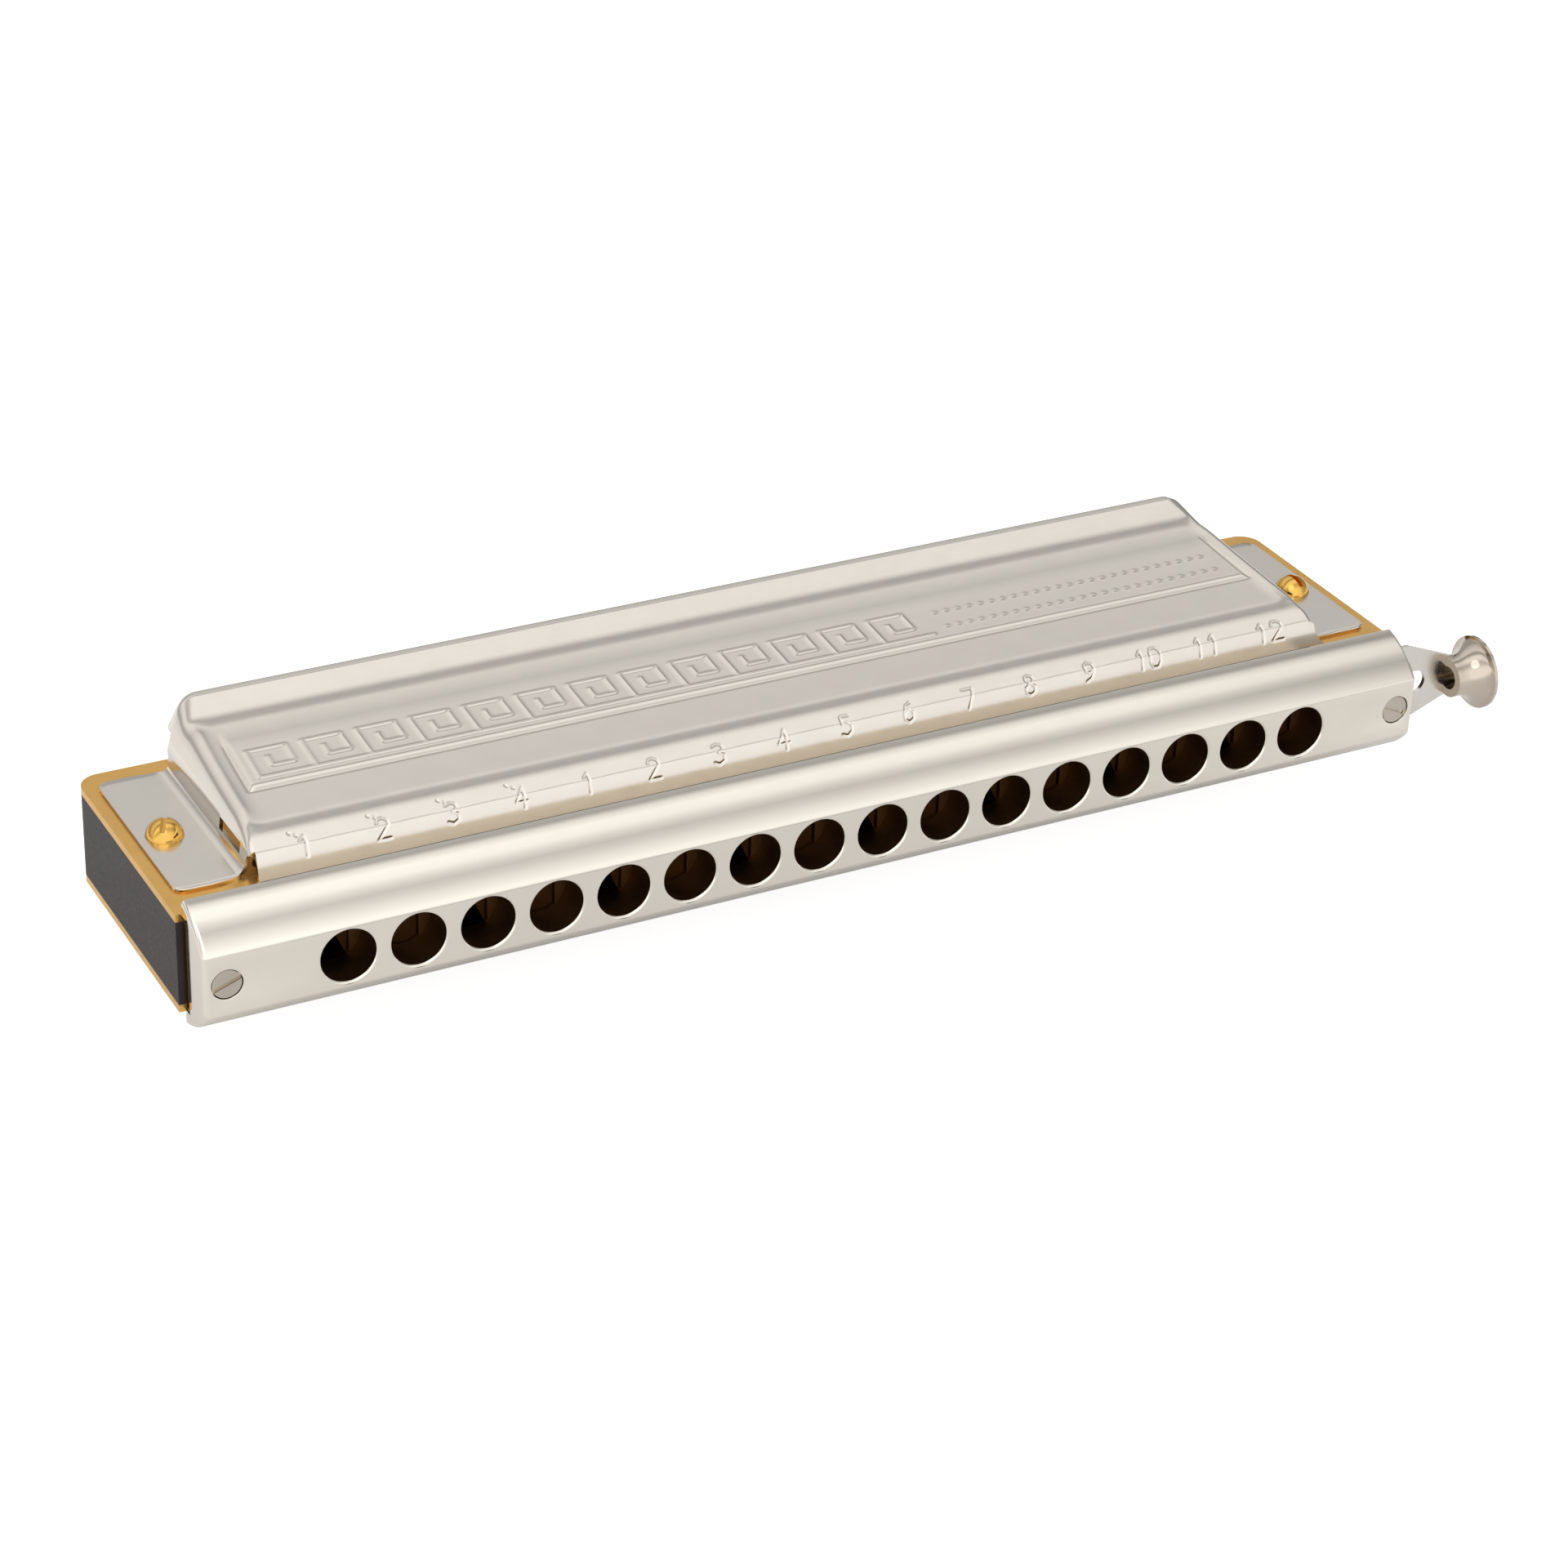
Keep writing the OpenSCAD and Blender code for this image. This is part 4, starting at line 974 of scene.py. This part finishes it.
def make_sky():
    world = bpy.data.worlds.new("studio")
    world.use_nodes = True
    tree = world.node_tree
    tree.nodes.clear()
    coord = tree.nodes.new("ShaderNodeTexCoord")
    split = tree.nodes.new("ShaderNodeSeparateXYZ")
    tree.links.new(coord.outputs["Generated"], split.inputs[0])
    above = add(tree, "ShaderNodeMath", operation="MAXIMUM")
    above.inputs[1].default_value = 0.001
    tree.links.new(split.outputs["Z"], above.inputs[0])
    angle = add(tree, "ShaderNodeMath", operation="ARCTAN2")
    tree.links.new(above.outputs[0], angle.inputs[0])
    tree.links.new(split.outputs["Y"], angle.inputs[1])
    turn = multiply(tree, angle.outputs[0], 1 / math.pi)
    strips = ramp(tree, turn, [(degrees / 180, value) for degrees, value in STRIPS])
    across = add(tree, "ShaderNodeMapRange")
    across.inputs["From Min"].default_value = -1
    tree.links.new(split.outputs["X"], across.inputs["Value"])
    share = ramp(tree, across.outputs["Result"], [((x + 1) / 2, value / 2) for x, value in ALONG])
    sky = add(tree, "ShaderNodeBackground")
    tree.links.new(strips, sky.inputs["Color"])
    tree.links.new(multiply(tree, share, 2.0), sky.inputs["Strength"])
    white = add(tree, "ShaderNodeBackground")
    white.inputs["Color"].default_value = (1, 1, 1, 1)
    path = tree.nodes.new("ShaderNodeLightPath")
    mix = tree.nodes.new("ShaderNodeMixShader")
    tree.links.new(path.outputs["Is Camera Ray"], mix.inputs["Fac"])
    tree.links.new(sky.outputs[0], mix.inputs[1])
    tree.links.new(white.outputs[0], mix.inputs[2])
    out = tree.nodes.new("ShaderNodeOutputWorld")
    tree.links.new(mix.outputs[0], out.inputs["Surface"])
    bpy.context.scene.world = world


def make_key():
    data = bpy.data.lights.new("key", "AREA")
    data.shape = "DISK"
    data.size = KEY_SIZE
    data.energy = KEY_POWER
    key = bpy.data.objects.new("key", data)
    key.location = Vector(KEY_PLACE)
    key.rotation_mode = "QUATERNION"
    key.rotation_quaternion = (-key.location).to_track_quat("-Z", "Y")
    bpy.context.scene.collection.objects.link(key)


make_floor()
make_sky()
make_key()
bpy.context.scene.view_settings.view_transform = "Standard"
